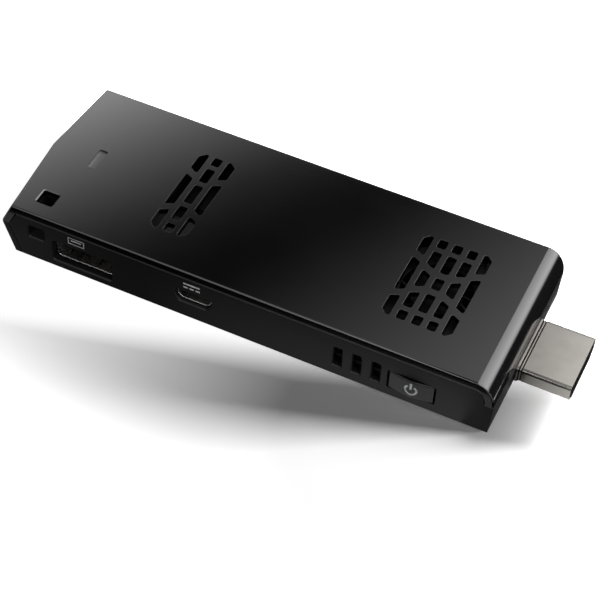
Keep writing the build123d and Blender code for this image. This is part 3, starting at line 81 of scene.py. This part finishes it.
def ramp(tree, source, start, end, low=0.0, high=1.0, smooth=False):
    """A level that goes from low to high while the source pair goes from start to end, and stays beyond."""
    node = tree.nodes.new("ShaderNodeMapRange")
    node.interpolation_type = "SMOOTHSTEP" if smooth else "LINEAR"
    for name, value in (("From Min", start), ("From Max", end), ("To Min", low), ("To Max", high)):
        node.inputs[name].default_value = value
    link(tree, *source, node, "Value")
    return node, "Result"


def placed(tree, operation, vector=None):
    """A vector math node on the place of the surface, such as its distance from the vector or its extent
    along it. Returns a (node, socket) pair."""
    where = tree.nodes.new("ShaderNodeTexCoord")
    node = tree.nodes.new("ShaderNodeVectorMath")
    node.operation = operation
    link(tree, where, "Object", node, 0)
    if vector:
        node.inputs[1].default_value = vector
    return node, "Value"


def seen_rays(tree):
    """Two pairs: 1 for a ray from the camera, and 1 for one from the camera, from gloss or through glass."""
    ray = tree.nodes.new("ShaderNodeLightPath")
    straight_or_gloss = worked(tree, "MAXIMUM", (ray, "Is Camera Ray"), (ray, "Is Glossy Ray"))
    return (ray, "Is Camera Ray"), worked(tree, "MAXIMUM", straight_or_gloss, (ray, "Is Transmission Ray"))


def surface(name, points, close_v=False, caps=False, smooth=True):
    """A mesh over a grid of points, array [u, v, 3]. Each face joins four neighbours, and closing v joins its
    last row to its first. Caps close both ends of u with one face each."""
    rows, columns = points.shape[:2]
    index = np.arange(rows * columns).reshape(rows, columns)
    here, after = index[:-1], index[1:]
    if close_v:
        quads = np.stack((here, after, np.roll(after, -1, 1), np.roll(here, -1, 1)), -1)
    else:
        quads = np.stack((here[:, :-1], after[:, :-1], after[:, 1:], here[:, 1:]), -1)
    faces = quads.reshape(-1, 4).tolist()
    if caps:
        faces += [index[0].tolist(), index[-1][::-1].tolist()]
    mesh = bpy.data.meshes.new(name)
    mesh.from_pydata(points.reshape(-1, 3).tolist(), [], faces)
    mesh.polygons.foreach_set("use_smooth", np.full(len(faces), smooth))
    mesh.update()
    piece = bpy.data.objects.new(name, mesh)
    bpy.context.scene.collection.objects.link(piece)
    return piece


def sheet(name, corners):
    """A flat sheet: a grid whose point at (u, v) is the even blend of its four corners by u and v."""
    u, v = np.meshgrid((0.0, 1.0), (0.0, 1.0), indexing="ij")
    a, b, c, d = (np.asarray(corner, float) for corner in corners)
    u, v = u[..., None], v[..., None]
    return surface(name, (1 - u) * (1 - v) * a + u * (1 - v) * b + u * v * c + (1 - u) * v * d)


def level_card(low_x, high_x, low_y, high_y, height):
    """The corners of a level rectangle."""
    return (low_x, low_y, height), (high_x, low_y, height), (high_x, high_y, height), (low_x, high_y, height)


# Floor: white paint just under the computer. It glows only for the camera and for gloss, all of it far away,
# and near the computer everywhere but in the band where the shadow falls.
floor_level = -0.00005
floor_reach = 3
floor_tone = 0.9
far_start, far_end, far_low, far_high = 0.14, 0.7, 0.06, 0.95
across_shadow = (0.36, -0.93, 0)
band_edge, band_clear, band_glow = 0.03, 0.015, 0.95
shadow_core = (0.04, -0.025, 0)
core_reach, core_clear, core_glow = 0.02, 0.085, 0.8
floor = sheet("floor", level_card(-floor_reach, floor_reach, -floor_reach, floor_reach, floor_level))
floor_paint = bpy.data.materials.new("white_floor")
floor_paint.use_nodes = True
tree = floor_paint.node_tree
tree.nodes.clear()
floor_colour = tree.nodes.new("ShaderNodeBsdfDiffuse")
floor_colour.inputs["Color"].default_value = (floor_tone, floor_tone, floor_tone, 1)
by_camera, by_sight = seen_rays(tree)
far_glow = ramp(tree, placed(tree, "LENGTH"), far_start, far_end, far_low, far_high)
# Painted light: near the computer the glow lifts the floor to white, except in a band across the shadow and
# round its core, so the low lamp's shadow shows only there.
beside_band = ramp(
    tree, placed(tree, "DOT_PRODUCT", across_shadow), band_edge, band_clear, high=band_glow, smooth=True,
)
round_core = ramp(tree, placed(tree, "DISTANCE", shadow_core), core_reach, core_clear, high=core_glow)
near_glow = worked(tree, "MULTIPLY", by_camera, worked(tree, "MAXIMUM", round_core, beside_band))
floor_glow = tree.nodes.new("ShaderNodeEmission")
floor_glow.inputs["Color"].default_value = (1, 1, 1, 1)
glow_level = worked(tree, "MAXIMUM", near_glow, worked(tree, "MULTIPLY", by_sight, far_glow))
link(tree, *glow_level, floor_glow, "Strength")
floor_sum = tree.nodes.new("ShaderNodeAddShader")
floor_out = tree.nodes.new("ShaderNodeOutputMaterial")
link(tree, floor_colour, "BSDF", floor_sum, 0)
link(tree, floor_glow, "Emission", floor_sum, 1)
link(tree, floor_sum, "Shader", floor_out, "Surface")
floor.data.materials.append(floor_paint)

# Room: a studio painted white. It is white where it is seen, straight or in gloss, and otherwise gives a dim
# even light.
dim_light, white_room = 0.04, 1.0
room = bpy.data.worlds.new("room")
bpy.context.scene.world = room
room.use_nodes = True
tree = room.node_tree
tree.nodes.clear()
room_level = tree.nodes.new("ShaderNodeMix")
room_level.inputs["A"].default_value = dim_light
room_level.inputs["B"].default_value = white_room
link(tree, *seen_rays(tree)[1], room_level, "Factor")
room_light = tree.nodes.new("ShaderNodeBackground")
link(tree, room_level, "Result", room_light, "Strength")
room_out = tree.nodes.new("ShaderNodeOutputWorld")
link(tree, room_light, "Background", room_out, "Surface")


# Lamps: a strong one far off and low, so that the shadow is long and soft, and a weak one in front. Both are
# soft boxes on stands outside the picture.
def lamp(name, place, aim, width, depth, watts):
    """A rectangular lamp at a place, turned so that its face looks at the aim. It isn't seen in gloss."""
    data = bpy.data.lights.new(name, "AREA")
    data.shape = "RECTANGLE"
    data.size = width
    data.size_y = depth
    data.energy = watts
    light = bpy.data.objects.new(name, data)
    place, aim = np.asarray(place, float), np.asarray(aim, float)
    back = (place - aim) / np.linalg.norm(place - aim)
    side = np.cross((0.0, 0.0, 1.0), back)
    side /= np.linalg.norm(side)
    axes = Matrix(np.column_stack((side, np.cross(back, side), back)).tolist()).to_4x4()
    light.matrix_world = Matrix.Translation(place) @ axes
    light.visible_glossy = False
    bpy.context.scene.collection.objects.link(light)


lamp("low_lamp", place=(1.44, 0.64, 0.225), aim=(0.02, -0.01, 0), width=0.4, depth=0.35, watts=170)
lamp("front_lamp", place=(0.2, -0.8, 0.55), aim=(0.02, 0, 0), width=0.6, depth=0.5, watts=0.9)


# Floor shade: a small board past the plug's tip. It isn't seen, and takes the low lamp's light off the floor
# between the plug and the end of the body, where the photograph shows a soft shade.
def upright_card(x, low_y, high_y, low_z, high_z):
    """The corners of an upright rectangle that stands across the body."""
    return (x, low_y, low_z), (x, high_y, low_z), (x, high_y, high_z), (x, low_y, high_z)


past_tip = 0.066
board_corners = upright_card(past_tip, low_y=-0.015, high_y=0.003, low_z=0.0017, high_z=0.0047)
floor_shade = sheet("floor_shade", board_corners)
floor_shade.data.materials.append(floor_paint)
floor_shade.visible_camera = False
floor_shade.visible_diffuse = False
floor_shade.visible_glossy = False
floor_shade.visible_transmission = False


# Gloss cards: black sheets that only gloss sees, some with soft lit bands. They stand where the lid, the
# side, the end and the plug look in the main view, and light nothing.
def flag(name, corners, *ramps):
    """A black card that only gloss sees, with soft lit bands. Each ramp is (a, b, start, end, level, power):
    along s = a * x + b * y its glow goes from nothing at start to the level at end, as that power of the
    way. A level below nothing takes glow away again, and the sum never falls below nothing."""
    piece = sheet(name, corners)
    cloth = bpy.data.materials.new(name)
    cloth.use_nodes = True
    tree = cloth.node_tree
    tree.nodes.clear()
    total = 0.0
    for a, b, start, end, level, power in ramps:
        way = ramp(tree, placed(tree, "DOT_PRODUCT", (a, b, 0)), start, end)
        total = worked(tree, "ADD", total, worked(tree, "MULTIPLY", worked(tree, "POWER", way, power), level))
    shine = tree.nodes.new("ShaderNodeEmission")
    shine.inputs["Strength"].default_value = 0.0
    if ramps:
        link(tree, *worked(tree, "MAXIMUM", total, 0.0), shine, "Strength")
    out = tree.nodes.new("ShaderNodeOutputMaterial")
    link(tree, shine, "Emission", out, "Surface")
    piece.data.materials.append(cloth)
    piece.visible_camera = False
    piece.visible_diffuse = False
    piece.visible_shadow = False
    piece.visible_transmission = False


def even(level):
    """A ramp that has ended before the studio starts: the same glow all over the card."""
    return 1, 0, -10, -9, level, 1


# Cards over the lid: pale at its left end and cut off past it, grey to the right of the dark middle, paler
# along the plug, and pale up the curve at the right end until it fades.
flag(
    "overhead_flag", level_card(-1.2, 4.2, -0.9, 3.4, height=0.4625),
    (1, -0.65, -0.43, -0.625, 6.2, 2.4),
    (1, -0.65, -0.65, -0.75, -6.5, 1),
    (1, -0.46, -0.345, -0.2, 1.64, 1.5),
    (1, 0, -0.0225, 0.004, 2.9, 1),
    (1, 0, -0.01, 0.5, 2.6, 0.8),
    (1, 0, 0.75, 2.0, -7.0, 1),
)
flag("edge_card", level_card(-0.42, -0.05, -0.75, -0.35, height=0.46), even(2.6), (1, 0, -0.24, -0.08, 6, 1))

# Cards round the plug: shades for its rounded front edge, for the end of the body and for the lower half of
# the curve. Two stand upright close to the end.
shade_height = 0.45
front_distance = -2.5
flag("plug_shade", level_card(-0.045, 0.03, front_distance, 0.31, shade_height))
flag("plug_far_shade", level_card(-0.3, 0.03, front_distance, -0.76, shade_height))
front_left, front_right, front_top = -0.42, 0.1, 0.46
flag("plug_front_shade", (
    (front_left, front_distance, 0), (front_right, front_distance, 0),
    (front_right, front_distance, front_top), (front_left, front_distance, front_top),
))
flag("end_shade", upright_card(0.0524, low_y=-0.0195, high_y=-0.0096, low_z=0, high_z=0.0085))
flag("far_shade", upright_card(0.0635, low_y=-0.02, high_y=0.05, low_z=0, high_z=0.013))

# Cloths on the floor: dark ones that keep its white out of the low gloss, a pale strip for the plug's side,
# and a strip along the port side that grows paler to the right.
cloth_height = 0.0002
flag("end_cloth", level_card(0.052, 0.06, -0.04, -0.0125, cloth_height))
flag("plug_cloth", level_card(0.052, 0.057, -0.0065, 0.09, cloth_height))
flag(
    "plug_card", level_card(0.053, 0.068, -0.0124, -0.0066, cloth_height), even(0.45),
    (1, 0, 0.0525, 0.0645, 2.45, 0.8),
)
flag("far_cloth", level_card(0.057, 0.4, -0.004, 0.3, cloth_height))
flag(
    "side_cloth", level_card(-0.12, 0.052, -0.1, -0.0189, cloth_height), even(0.14),
    (1, 0, -0.02, 0.048, 1.1, 1),
    (1, 0, 0.046, 0.0465, -0.8, 1),
    (1, 0, -0.03, -0.05, 0.25, 1),
    (0, 1, -0.0272, -0.0277, -5, 1),
)


# Bottom case: an injection moulded tray in black plastic with a fine spark texture that scatters the light.
# The grain and the slight unevenness of its shine are shared by every moulded piece.
def group(name, inputs, outputs):
    """A new shader node group with the named inputs and outputs. They are plain values, but a name that
    starts with V_ stands for a vector."""
    made = bpy.data.node_groups.new(name, "ShaderNodeTree")
    for direction, names in (("INPUT", inputs), ("OUTPUT", outputs)):
        for socket in names:
            kind = "NodeSocketVector" if socket.startswith("V_") else "NodeSocketFloat"
            made.interface.new_socket(socket, in_out=direction, socket_type=kind)
    return made, made.nodes.new("NodeGroupInput"), made.nodes.new("NodeGroupOutput")


def add_noise(tree, source, vector_socket, scale, detail, roughness=0.5):
    """A noise texture on the given vector. Scale is a number, or a (node, socket) pair that drives it."""
    noise = tree.nodes.new("ShaderNodeTexNoise")
    noise.inputs["Detail"].default_value = detail
    noise.inputs["Roughness"].default_value = roughness
    link(tree, source, vector_socket, noise, "Vector")
    if isinstance(scale, tuple):
        link(tree, *scale, noise, "Scale")
    else:
        noise.inputs["Scale"].default_value = scale
    return noise


noise_middle = 0.5
grain_group, entry, leave = group(
    "moulded_grain", ("Grains per metre", "Patches per metre", "Shine", "Shine spread"),
    ("Height", "Roughness", "Mottle"),
)
where = grain_group.nodes.new("ShaderNodeTexCoord")
fine = add_noise(grain_group, where, "Object", (entry, "Grains per metre"), detail=3.0, roughness=0.65)
link(grain_group, fine, "Fac", leave, "Height")
patches = add_noise(grain_group, where, "Object", (entry, "Patches per metre"), detail=2.0)
link(grain_group, patches, "Fac", leave, "Mottle")
drift = worked(grain_group, "SUBTRACT", (patches, "Fac"), noise_middle)
uneven = worked(grain_group, "MULTIPLY_ADD", drift, (entry, "Shine spread"), (entry, "Shine"))
link(grain_group, *uneven, leave, "Roughness")


def blended(tree, first, second, share):
    """A colour that goes from first to second by the share, a (node, socket) pair. Each end is such a pair or
    a colour. Returns such a pair itself."""
    node = tree.nodes.new("ShaderNodeMix")
    node.data_type = "RGBA"
    for name, tone in (("A", first), ("B", second)):
        if len(tone) == 2:
            link(tree, *tone, node, name)
        else:
            node.inputs[name].default_value = (*tone, 1)
    link(tree, *share, node, "Factor")
    return node, "Result"


def patterned(name, pattern, settings, dark, pale, mask, depth, edge):
    """A material that carries a pattern group with its settings. Its colour goes from dark to pale by the
    group's mask, its roughness is the group's, and its surface follows the group's height, as deep as depth
    in metres. Edge is the radius that its sharp edges catch light with. Returns it with its shader."""
    made = bpy.data.materials.new(name)
    made.use_nodes = True
    tree = made.node_tree
    shader = tree.nodes["Principled BSDF"]
    source = tree.nodes.new("ShaderNodeGroup")
    source.node_tree = pattern
    for setting, value in settings.items():
        source.inputs[setting].default_value = value
    link(tree, *blended(tree, dark, pale, (source, mask)), shader, "Base Color")
    link(tree, source, "Roughness", shader, "Roughness")
    bump = tree.nodes.new("ShaderNodeBump")
    bump.inputs["Distance"].default_value = depth
    link(tree, source, "Height", bump, "Height")
    if edge:
        soft_edge = tree.nodes.new("ShaderNodeBevel")
        soft_edge.inputs["Radius"].default_value = edge
        link(tree, soft_edge, "Normal", bump, "Normal")
    link(tree, bump, "Normal", shader, "Normal")
    return made, shader


def moulded(name, dark, pale, shine, spread, grains, patches, depth, specular=0.5, edge=0.0):
    """Moulded plastic: its colour drifts between dark and pale in soft patches, and a fine grain roughens it.
    Grains and patches are numbers per metre, and shine is a roughness that the patches spread."""
    settings = {
        "Grains per metre": grains, "Patches per metre": patches, "Shine": shine, "Shine spread": spread,
    }
    made, shader = patterned(name, grain_group, settings, dark, pale, "Mottle", depth, edge)
    shader.inputs["Specular IOR Level"].default_value = specular
    return made


def dress(material, *names):
    """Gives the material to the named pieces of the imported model."""
    for name in names:
        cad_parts[name].material_slots[0].material = material


deep_black, soft_black = (0.0022, 0.0022, 0.0024), (0.0034, 0.0034, 0.0036)
case_plastic = moulded(
    "case_plastic", deep_black, soft_black, shine=0.48, spread=0.1, grains=7000, patches=60, depth=0.000008,
    specular=0.14, edge=0.00012,
)
dress(case_plastic, "bottom_case")

# Motherboard and the wireless module's board: black solder mask over copper tracks, which show as faint
# ridges and a paler tone. The antennas are cut from the same laminate.
board_lacquer = bpy.data.materials.new("board_lacquer")
board_lacquer.use_nodes = True
tree = board_lacquer.node_tree
shader = tree.nodes["Principled BSDF"]
shader.inputs["Roughness"].default_value = 0.35
shader.inputs["Specular IOR Level"].default_value = 0.15
where = tree.nodes.new("ShaderNodeTexCoord")
tracks = tree.nodes.new("ShaderNodeTexWave")
tracks.inputs["Scale"].default_value = 700
tracks.inputs["Distortion"].default_value = 9.0
tracks.inputs["Detail"].default_value = 1.0
tracks.inputs["Detail Scale"].default_value = 0.35
link(tree, where, "Object", tracks, "Vector")
track_edges = tree.nodes.new("ShaderNodeValToRGB")
track_edges.color_ramp.elements[0].position = 0.62
track_edges.color_ramp.elements[1].position = 0.7
link(tree, tracks, "Fac", track_edges, "Fac")
vias = tree.nodes.new("ShaderNodeTexVoronoi")
vias.inputs["Scale"].default_value = 420
link(tree, where, "Object", vias, "Vector")
via_radius = 0.13
over_board, over_copper, tinned_via = (0.0015, 0.0022, 0.0019), (0.004, 0.006, 0.005), (0.03, 0.026, 0.018)
via_dots = worked(tree, "LESS_THAN", (vias, "Distance"), via_radius)
mask_tone = blended(tree, over_board, over_copper, (track_edges, "Color"))
link(tree, *blended(tree, mask_tone, tinned_via, via_dots), shader, "Base Color")
track_bump = tree.nodes.new("ShaderNodeBump")
track_bump.inputs["Distance"].default_value = 0.00002
link(tree, track_edges, "Color", track_bump, "Height")
link(tree, track_bump, "Normal", shader, "Normal")
dress(board_lacquer, "motherboard", "wireless_board", "main_antenna", "aux_antenna", "processor_package")

# Chips, inductors, switch body and insulators: black filled resin with a fine dull grain, moulded round the
# metal that it carries and soldered down by it.
chip_resin = moulded(
    "chip_resin", (0.01, 0.01, 0.011), (0.02, 0.02, 0.021), shine=0.55, spread=0.15, grains=9000, patches=300,
    depth=0.00001,
)
dress(chip_resin, "memory_chips", "storage_chip", "power_chip", "power_inductors", "switch_body")
dress(chip_resin, "micro_sd_base", "hdmi_insulator", "usb_a_tongue", "micro_usb_tongue")

# Processor die: polished silicon, grey with a cool sheen and faint marks from grinding, bonded to the middle
# of its package under the heat spreader's pad.
die_silicon = moulded(
    "die_silicon", (0.10, 0.11, 0.13), (0.15, 0.16, 0.18), shine=0.12, spread=0.08, grains=16000, patches=900,
    depth=0.000001,
)
dress(die_silicon, "processor_die")

# Small pale pieces: ceramic capacitors in a warm brown, sintered and soldered to the board, and the light
# chip, the blower's connector and the switch's plunger in off-white resin.
ceramic = moulded(
    "ceramic", (0.05, 0.034, 0.022), (0.09, 0.065, 0.045), shine=0.5, spread=0.1, grains=9000, patches=1500,
    depth=0.000008,
)
dress(ceramic, "capacitors")
pale_resin = moulded(
    "pale_resin", (0.58, 0.56, 0.5), (0.72, 0.7, 0.65), shine=0.45, spread=0.1, grains=6000, patches=400,
    depth=0.00001,
)
dress(pale_resin, "status_led", "fan_connector", "switch_plunger")

# Screening cans and port shells: thin tinned steel, drawn in one direction, with a faint cloudy tarnish. The
# card slot, the screws and the blower's core and shaft are near-black steel, the screws partly as painted
# shade inside the vents, and the aerial jacks get the same near black as painted shade that hides their glint
# in a vent. Every bare metal piece shares the drawn lines and the tarnish.
lines_group, entry, leave = group(
    "drawn_lines", ("Lines per metre", "V_Stretch", "Shine", "Shine spread"),
    ("Height", "Roughness", "Tarnish"),
)
where = lines_group.nodes.new("ShaderNodeTexCoord")
stretched = lines_group.nodes.new("ShaderNodeVectorMath")
stretched.operation = "MULTIPLY"
link(lines_group, where, "Object", stretched, 0)
link(lines_group, entry, "V_Stretch", stretched, 1)
fine_lines = add_noise(
    lines_group, stretched, "Vector", (entry, "Lines per metre"), detail=4.0, roughness=0.7,
)
link(lines_group, fine_lines, "Fac", leave, "Height")
clouds = add_noise(lines_group, where, "Object", scale=260.0, detail=3.0)
link(lines_group, clouds, "Fac", leave, "Tarnish")
both = worked(lines_group, "ADD", (fine_lines, "Fac"), (clouds, "Fac"))
drift = worked(lines_group, "SUBTRACT", both, 2 * noise_middle)
uneven = worked(lines_group, "MULTIPLY_ADD", drift, (entry, "Shine spread"), (entry, "Shine"))
link(lines_group, *uneven, leave, "Roughness")


def bare_metal(name, dark, pale, shine, spread, lines, stretch, depth, edge=0.0):
    """Bare or plated metal: its colour drifts from dark to pale with its tarnish, and fine lines, so many to
    the metre, run along the axis whose stretch is smallest. Shine is a roughness that both spread."""
    settings = {"Lines per metre": lines, "V_Stretch": stretch, "Shine": shine, "Shine spread": spread}
    made, shader = patterned(name, lines_group, settings, dark, pale, "Tarnish", depth, edge)
    shader.inputs["Metallic"].default_value = 1.0
    return made


tinned_steel = bare_metal(
    "tinned_steel", (0.3, 0.3, 0.3), (0.48, 0.48, 0.47), shine=0.28, spread=0.16, lines=3000,
    stretch=(0.12, 1, 1), depth=0.000001, edge=0.00018,
)
dress(tinned_steel, "usb_a_shell", "micro_usb_shell", "wireless_shield", "crystal")
dark_steel_and_shade = bare_metal(
    "dark_steel_and_shade", (0.008, 0.008, 0.0085), (0.018, 0.018, 0.019), shine=0.45, spread=0.16, lines=2600,
    stretch=(1, 0.15, 1), depth=0.000004,
)
# Painted shade: the aerial jacks take this near-black steel to hide their glint inside a vent, and the
# screws' near black stands partly for the shade there.
dress(dark_steel_and_shade, "micro_sd_shell", "micro_sd_contacts", "antenna_jacks", "fan_stator", "fan_shaft")
dress(dark_steel_and_shade, "board_screws", "fan_screws", "spreader_screws")

# Contacts of the plug and of the two ports: thin spring metal, stamped and bent, with a gold flash where it
# meets the other side.
gold_flash = bare_metal(
    "gold_flash", (0.62, 0.42, 0.16), (0.83, 0.6, 0.27), shine=0.22, spread=0.1, lines=5000,
    stretch=(0.2, 1, 1), depth=0.000002,
)
dress(gold_flash, "hdmi_contacts", "usb_a_contacts", "micro_usb_contacts")

# Cooling: an aluminium heat spreader over a grey pad, and a blower in black plastic on a sintered bearing,
# whose coils are enamelled copper wire round a steel core. The spreader, the blower and its steel cover are
# near black, partly as painted shade inside the vents.
# Painted shade: the spreader's near-black tone stands partly for the shade inside the vents.
spreader_black_and_shade = bare_metal(
    "spreader_black_and_shade", (0.004, 0.004, 0.0044), (0.008, 0.008, 0.0084), shine=0.42, spread=0.14, lines=2200,
    stretch=(1, 0.1, 1), depth=0.000004,
)
dress(spreader_black_and_shade, "heat_spreader")
bearing_bronze = bare_metal(
    "bearing_bronze", (0.38, 0.25, 0.12), (0.5, 0.36, 0.18), shine=0.35, spread=0.1, lines=4000,
    stretch=(1, 1, 0.2), depth=0.000003,
)
dress(bearing_bronze, "fan_bearing")
coil_wire = bare_metal(
    "coil_wire", (0.45, 0.17, 0.08), (0.62, 0.28, 0.13), shine=0.25, spread=0.1, lines=9000,
    stretch=(0.2, 0.2, 1), depth=0.00002,
)
dress(coil_wire, "stator_coils")
# Painted shade: the blower's plastic and its steel cover are made this near black partly for the shade inside
# the vents.
fan_black_and_shade = moulded(
    "fan_black_and_shade", (0.001, 0.001, 0.0011), (0.002, 0.002, 0.0021), shine=0.5, spread=0.1, grains=5000,
    patches=200, depth=0.000008, specular=0.05,
)
dress(fan_black_and_shade, "fan_housing", "fan_impeller", "rotor_magnet", "fan_cover")
soft_rubber = moulded(
    "soft_rubber", (0.012, 0.012, 0.012), (0.03, 0.03, 0.03), shine=0.7, spread=0.1, grains=8000, patches=500,
    depth=0.00001,
)
dress(soft_rubber, "main_antenna_lead", "aux_antenna_lead", "fan_lead")
pad_grey = moulded(
    "pad_grey", (0.2, 0.22, 0.24), (0.3, 0.32, 0.34), shine=0.8, spread=0.1, grains=5000, patches=500,
    depth=0.00002,
)
dress(pad_grey, "thermal_pad")

# Display plug: folded steel with a warm nickel plate, drawn lengthways, slightly worn where it slides into
# a socket. The plate's colour is darkened as painted shade in the two grooves rolled round its root, each
# groove as wide as the land between them, and folding the way along the plug to and fro by that width finds
# both.
nickel_plate = bare_metal(
    "nickel_plate", (0.112, 0.107, 0.099), (0.162, 0.154, 0.143), shine=0.18, spread=0.1, lines=2600,
    stretch=(0.08, 1, 1), depth=0.0000012, edge=0.00012,
)
groove_width = 0.00025
before_grooves = 0.052105
groove_span = 0.000985
# Painted shade: the plate's colour in the grooves is darkened to stand for the shade in them.
painted_groove_shade = (0.012, 0.011, 0.01)
tree = nickel_plate.node_tree
shader = tree.nodes["Principled BSDF"]
bright_plate = shader.inputs["Base Color"].links[0].from_node, "Result"
where = tree.nodes.new("ShaderNodeTexCoord")
along_plug = tree.nodes.new("ShaderNodeSeparateXYZ")
link(tree, where, "Object", along_plug, "Vector")
way = worked(tree, "SUBTRACT", (along_plug, "X"), before_grooves)
in_groove = worked(tree, "GREATER_THAN", worked(tree, "PINGPONG", way, groove_width), groove_width / 2)
begun = worked(tree, "GREATER_THAN", way, 0.0)
unfinished = worked(tree, "LESS_THAN", way, groove_span)
groove_shade_mask = worked(tree, "MULTIPLY", worked(tree, "MULTIPLY", begun, unfinished), in_groove)
link(tree, *blended(tree, bright_plate, painted_groove_shade, groove_shade_mask), shader, "Base Color")
dress(nickel_plate, "hdmi_shell")

# Power button: satin black plastic, moulded in one with its spring arm and a little smoother than the case
# round it.
button_plastic = moulded(
    "button_plastic", deep_black, soft_black, shine=0.26, spread=0.06, grains=9000, patches=120,
    depth=0.000003, specular=0.2, edge=0.00018,
)
dress(button_plastic, "power_button")

# Top cover: high gloss black plastic, polished in the mould, with the slight waviness of a thin moulded
# wall. The light window in it is frosted.
cover_gloss = moulded(
    "cover_gloss", (0.0009, 0.0009, 0.001), (0.0016, 0.0016, 0.0017), shine=0.1, spread=0.03, grains=1800,
    patches=70, depth=0.0000006, edge=0.0001,
)
dress(cover_gloss, "top_cover")
frosted = moulded(
    "frosted", (0.14, 0.14, 0.143), (0.19, 0.19, 0.193), shine=0.3, spread=0.1, grains=6000, patches=700,
    depth=0.000004,
)
dress(frosted, "led_window")


# Printed marks: thin pale ink on the port side and on the button, a direct current sign over the small port,
# a plain outline over the wide one, and a power sign on the button's creased face.
def ink_strip(name, path, width, face, lift=0.00001, thickness=0.00002):
    """A flat strip of ink along a path of (x, z) points. Across the path it is width wide, its ends are cut
    square, and each point stands lift in front of the face, a function that gives y from x and z."""
    path = np.asarray(path, float)
    along = np.gradient(path, axis=0)
    along /= np.linalg.norm(along, axis=1, keepdims=True)
    across = np.column_stack((-along[:, 1], along[:, 0])) * width / 2
    left, right = path + across, path - across
    corners = []
    for side, depth in ((left, 0), (right, 0), (right, 1), (left, 1)):
        y = face(side[:, 0], side[:, 1]) - lift - (1 - depth) * thickness
        corners.append(np.column_stack((side[:, 0], y, side[:, 1])))
    return surface(name, np.stack(corners, 1), close_v=True, caps=True, smooth=False)


def straight(start, end, count=2):
    """Points evenly along the line from start to end."""
    return np.linspace(start, end, count)


side_level = -0.0188


def flat_side(x, z):
    """The port side's plane."""
    return np.full_like(x, side_level)


button_low, button_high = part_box("power_button")
button_middle = (button_low[0] + button_high[0]) / 2
button_half = 0.004425
button_face = -0.01878
button_crown = 0.00065


def creased_face(x, z):
    """The button's face: two planes that rise to a crease in the middle by the button's crown."""
    return button_face - button_crown * (1 - np.minimum(np.abs(x - button_middle) / button_half, 1))


def arc(centre, radius, start, end, count=64):
    """Points on a circle, from the start angle to the end angle in degrees, counted from +X towards +Z."""
    angle = np.radians(np.linspace(start, end, count))
    return np.column_stack((centre[0] + radius * np.cos(angle), centre[1] + radius * np.sin(angle)))


def print_on(body, ink_name, dark, pale, marks):
    """Gives the marks an ink between the two tones and lets them ride on the body."""
    ink = moulded(ink_name, dark, pale, shine=0.5, spread=0.1, grains=12000, patches=3000, depth=0.000003)
    for mark in marks:
        mark.data.materials.append(ink)
        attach(mark, body)


supply_left, supply_right = -0.0107, -0.00725
bar_height, dash_height = 0.0094, 0.00845
supply_stroke = 0.0004
supply_bar = straight((supply_left, bar_height), (supply_right, bar_height))
supply_marks = [ink_strip("supply_bar", supply_bar, supply_stroke, flat_side)]
dashes = ((supply_left, -0.0098), (-0.00945, -0.0085), (-0.00815, supply_right))
for number, (start, end) in enumerate(dashes):
    dash = straight((start, dash_height), (end, dash_height))
    supply_marks.append(ink_strip("supply_dash_%d" % number, dash, supply_stroke, flat_side))
print_on("case", "pale_ink", (0.78, 0.78, 0.78), (0.88, 0.88, 0.88), supply_marks)

outline_left, outline_right = -0.0355, -0.0319
outline_low, outline_high = 0.0083, 0.0098
side_inset = 0.00013
outline_stroke, tongue_stroke = 0.00017, 0.0003
outline_lines = [straight((outline_left, z), (outline_right, z)) for z in (outline_high, outline_low)]
for x in (outline_left + side_inset, outline_right - side_inset):
    outline_lines.append(straight((x, outline_low + side_inset), (x, outline_high - side_inset)))
port_marks = [
    ink_strip("port_mark_%d" % number, line, outline_stroke, flat_side)
    for number, line in enumerate(outline_lines)
]
tongue_left, tongue_right, tongue_height = -0.0348, -0.0326, 0.0092
tongue = straight((tongue_left, tongue_height), (tongue_right, tongue_height))
port_marks.append(ink_strip("port_mark_bar", tongue, tongue_stroke, flat_side))
print_on("case", "port_ink", (0.7, 0.7, 0.7), (0.8, 0.8, 0.8), port_marks)

ring_x, ring_height, ring_radius = 0.0361, 0.0046, 0.0011
ring_start, ring_end = 125, 415
stem_low, stem_high = 0.0048, 0.0065
power_stroke = 0.00042
ring = arc((ring_x, ring_height), ring_radius, ring_start, ring_end)
stem = straight((ring_x, stem_low), (ring_x, stem_high), 6)
print_on("button", "button_ink", (0.5, 0.5, 0.51), (0.62, 0.62, 0.63), [
    ink_strip("power_ring", ring, power_stroke, creased_face),
    ink_strip("power_bar", stem, power_stroke, creased_face),
])
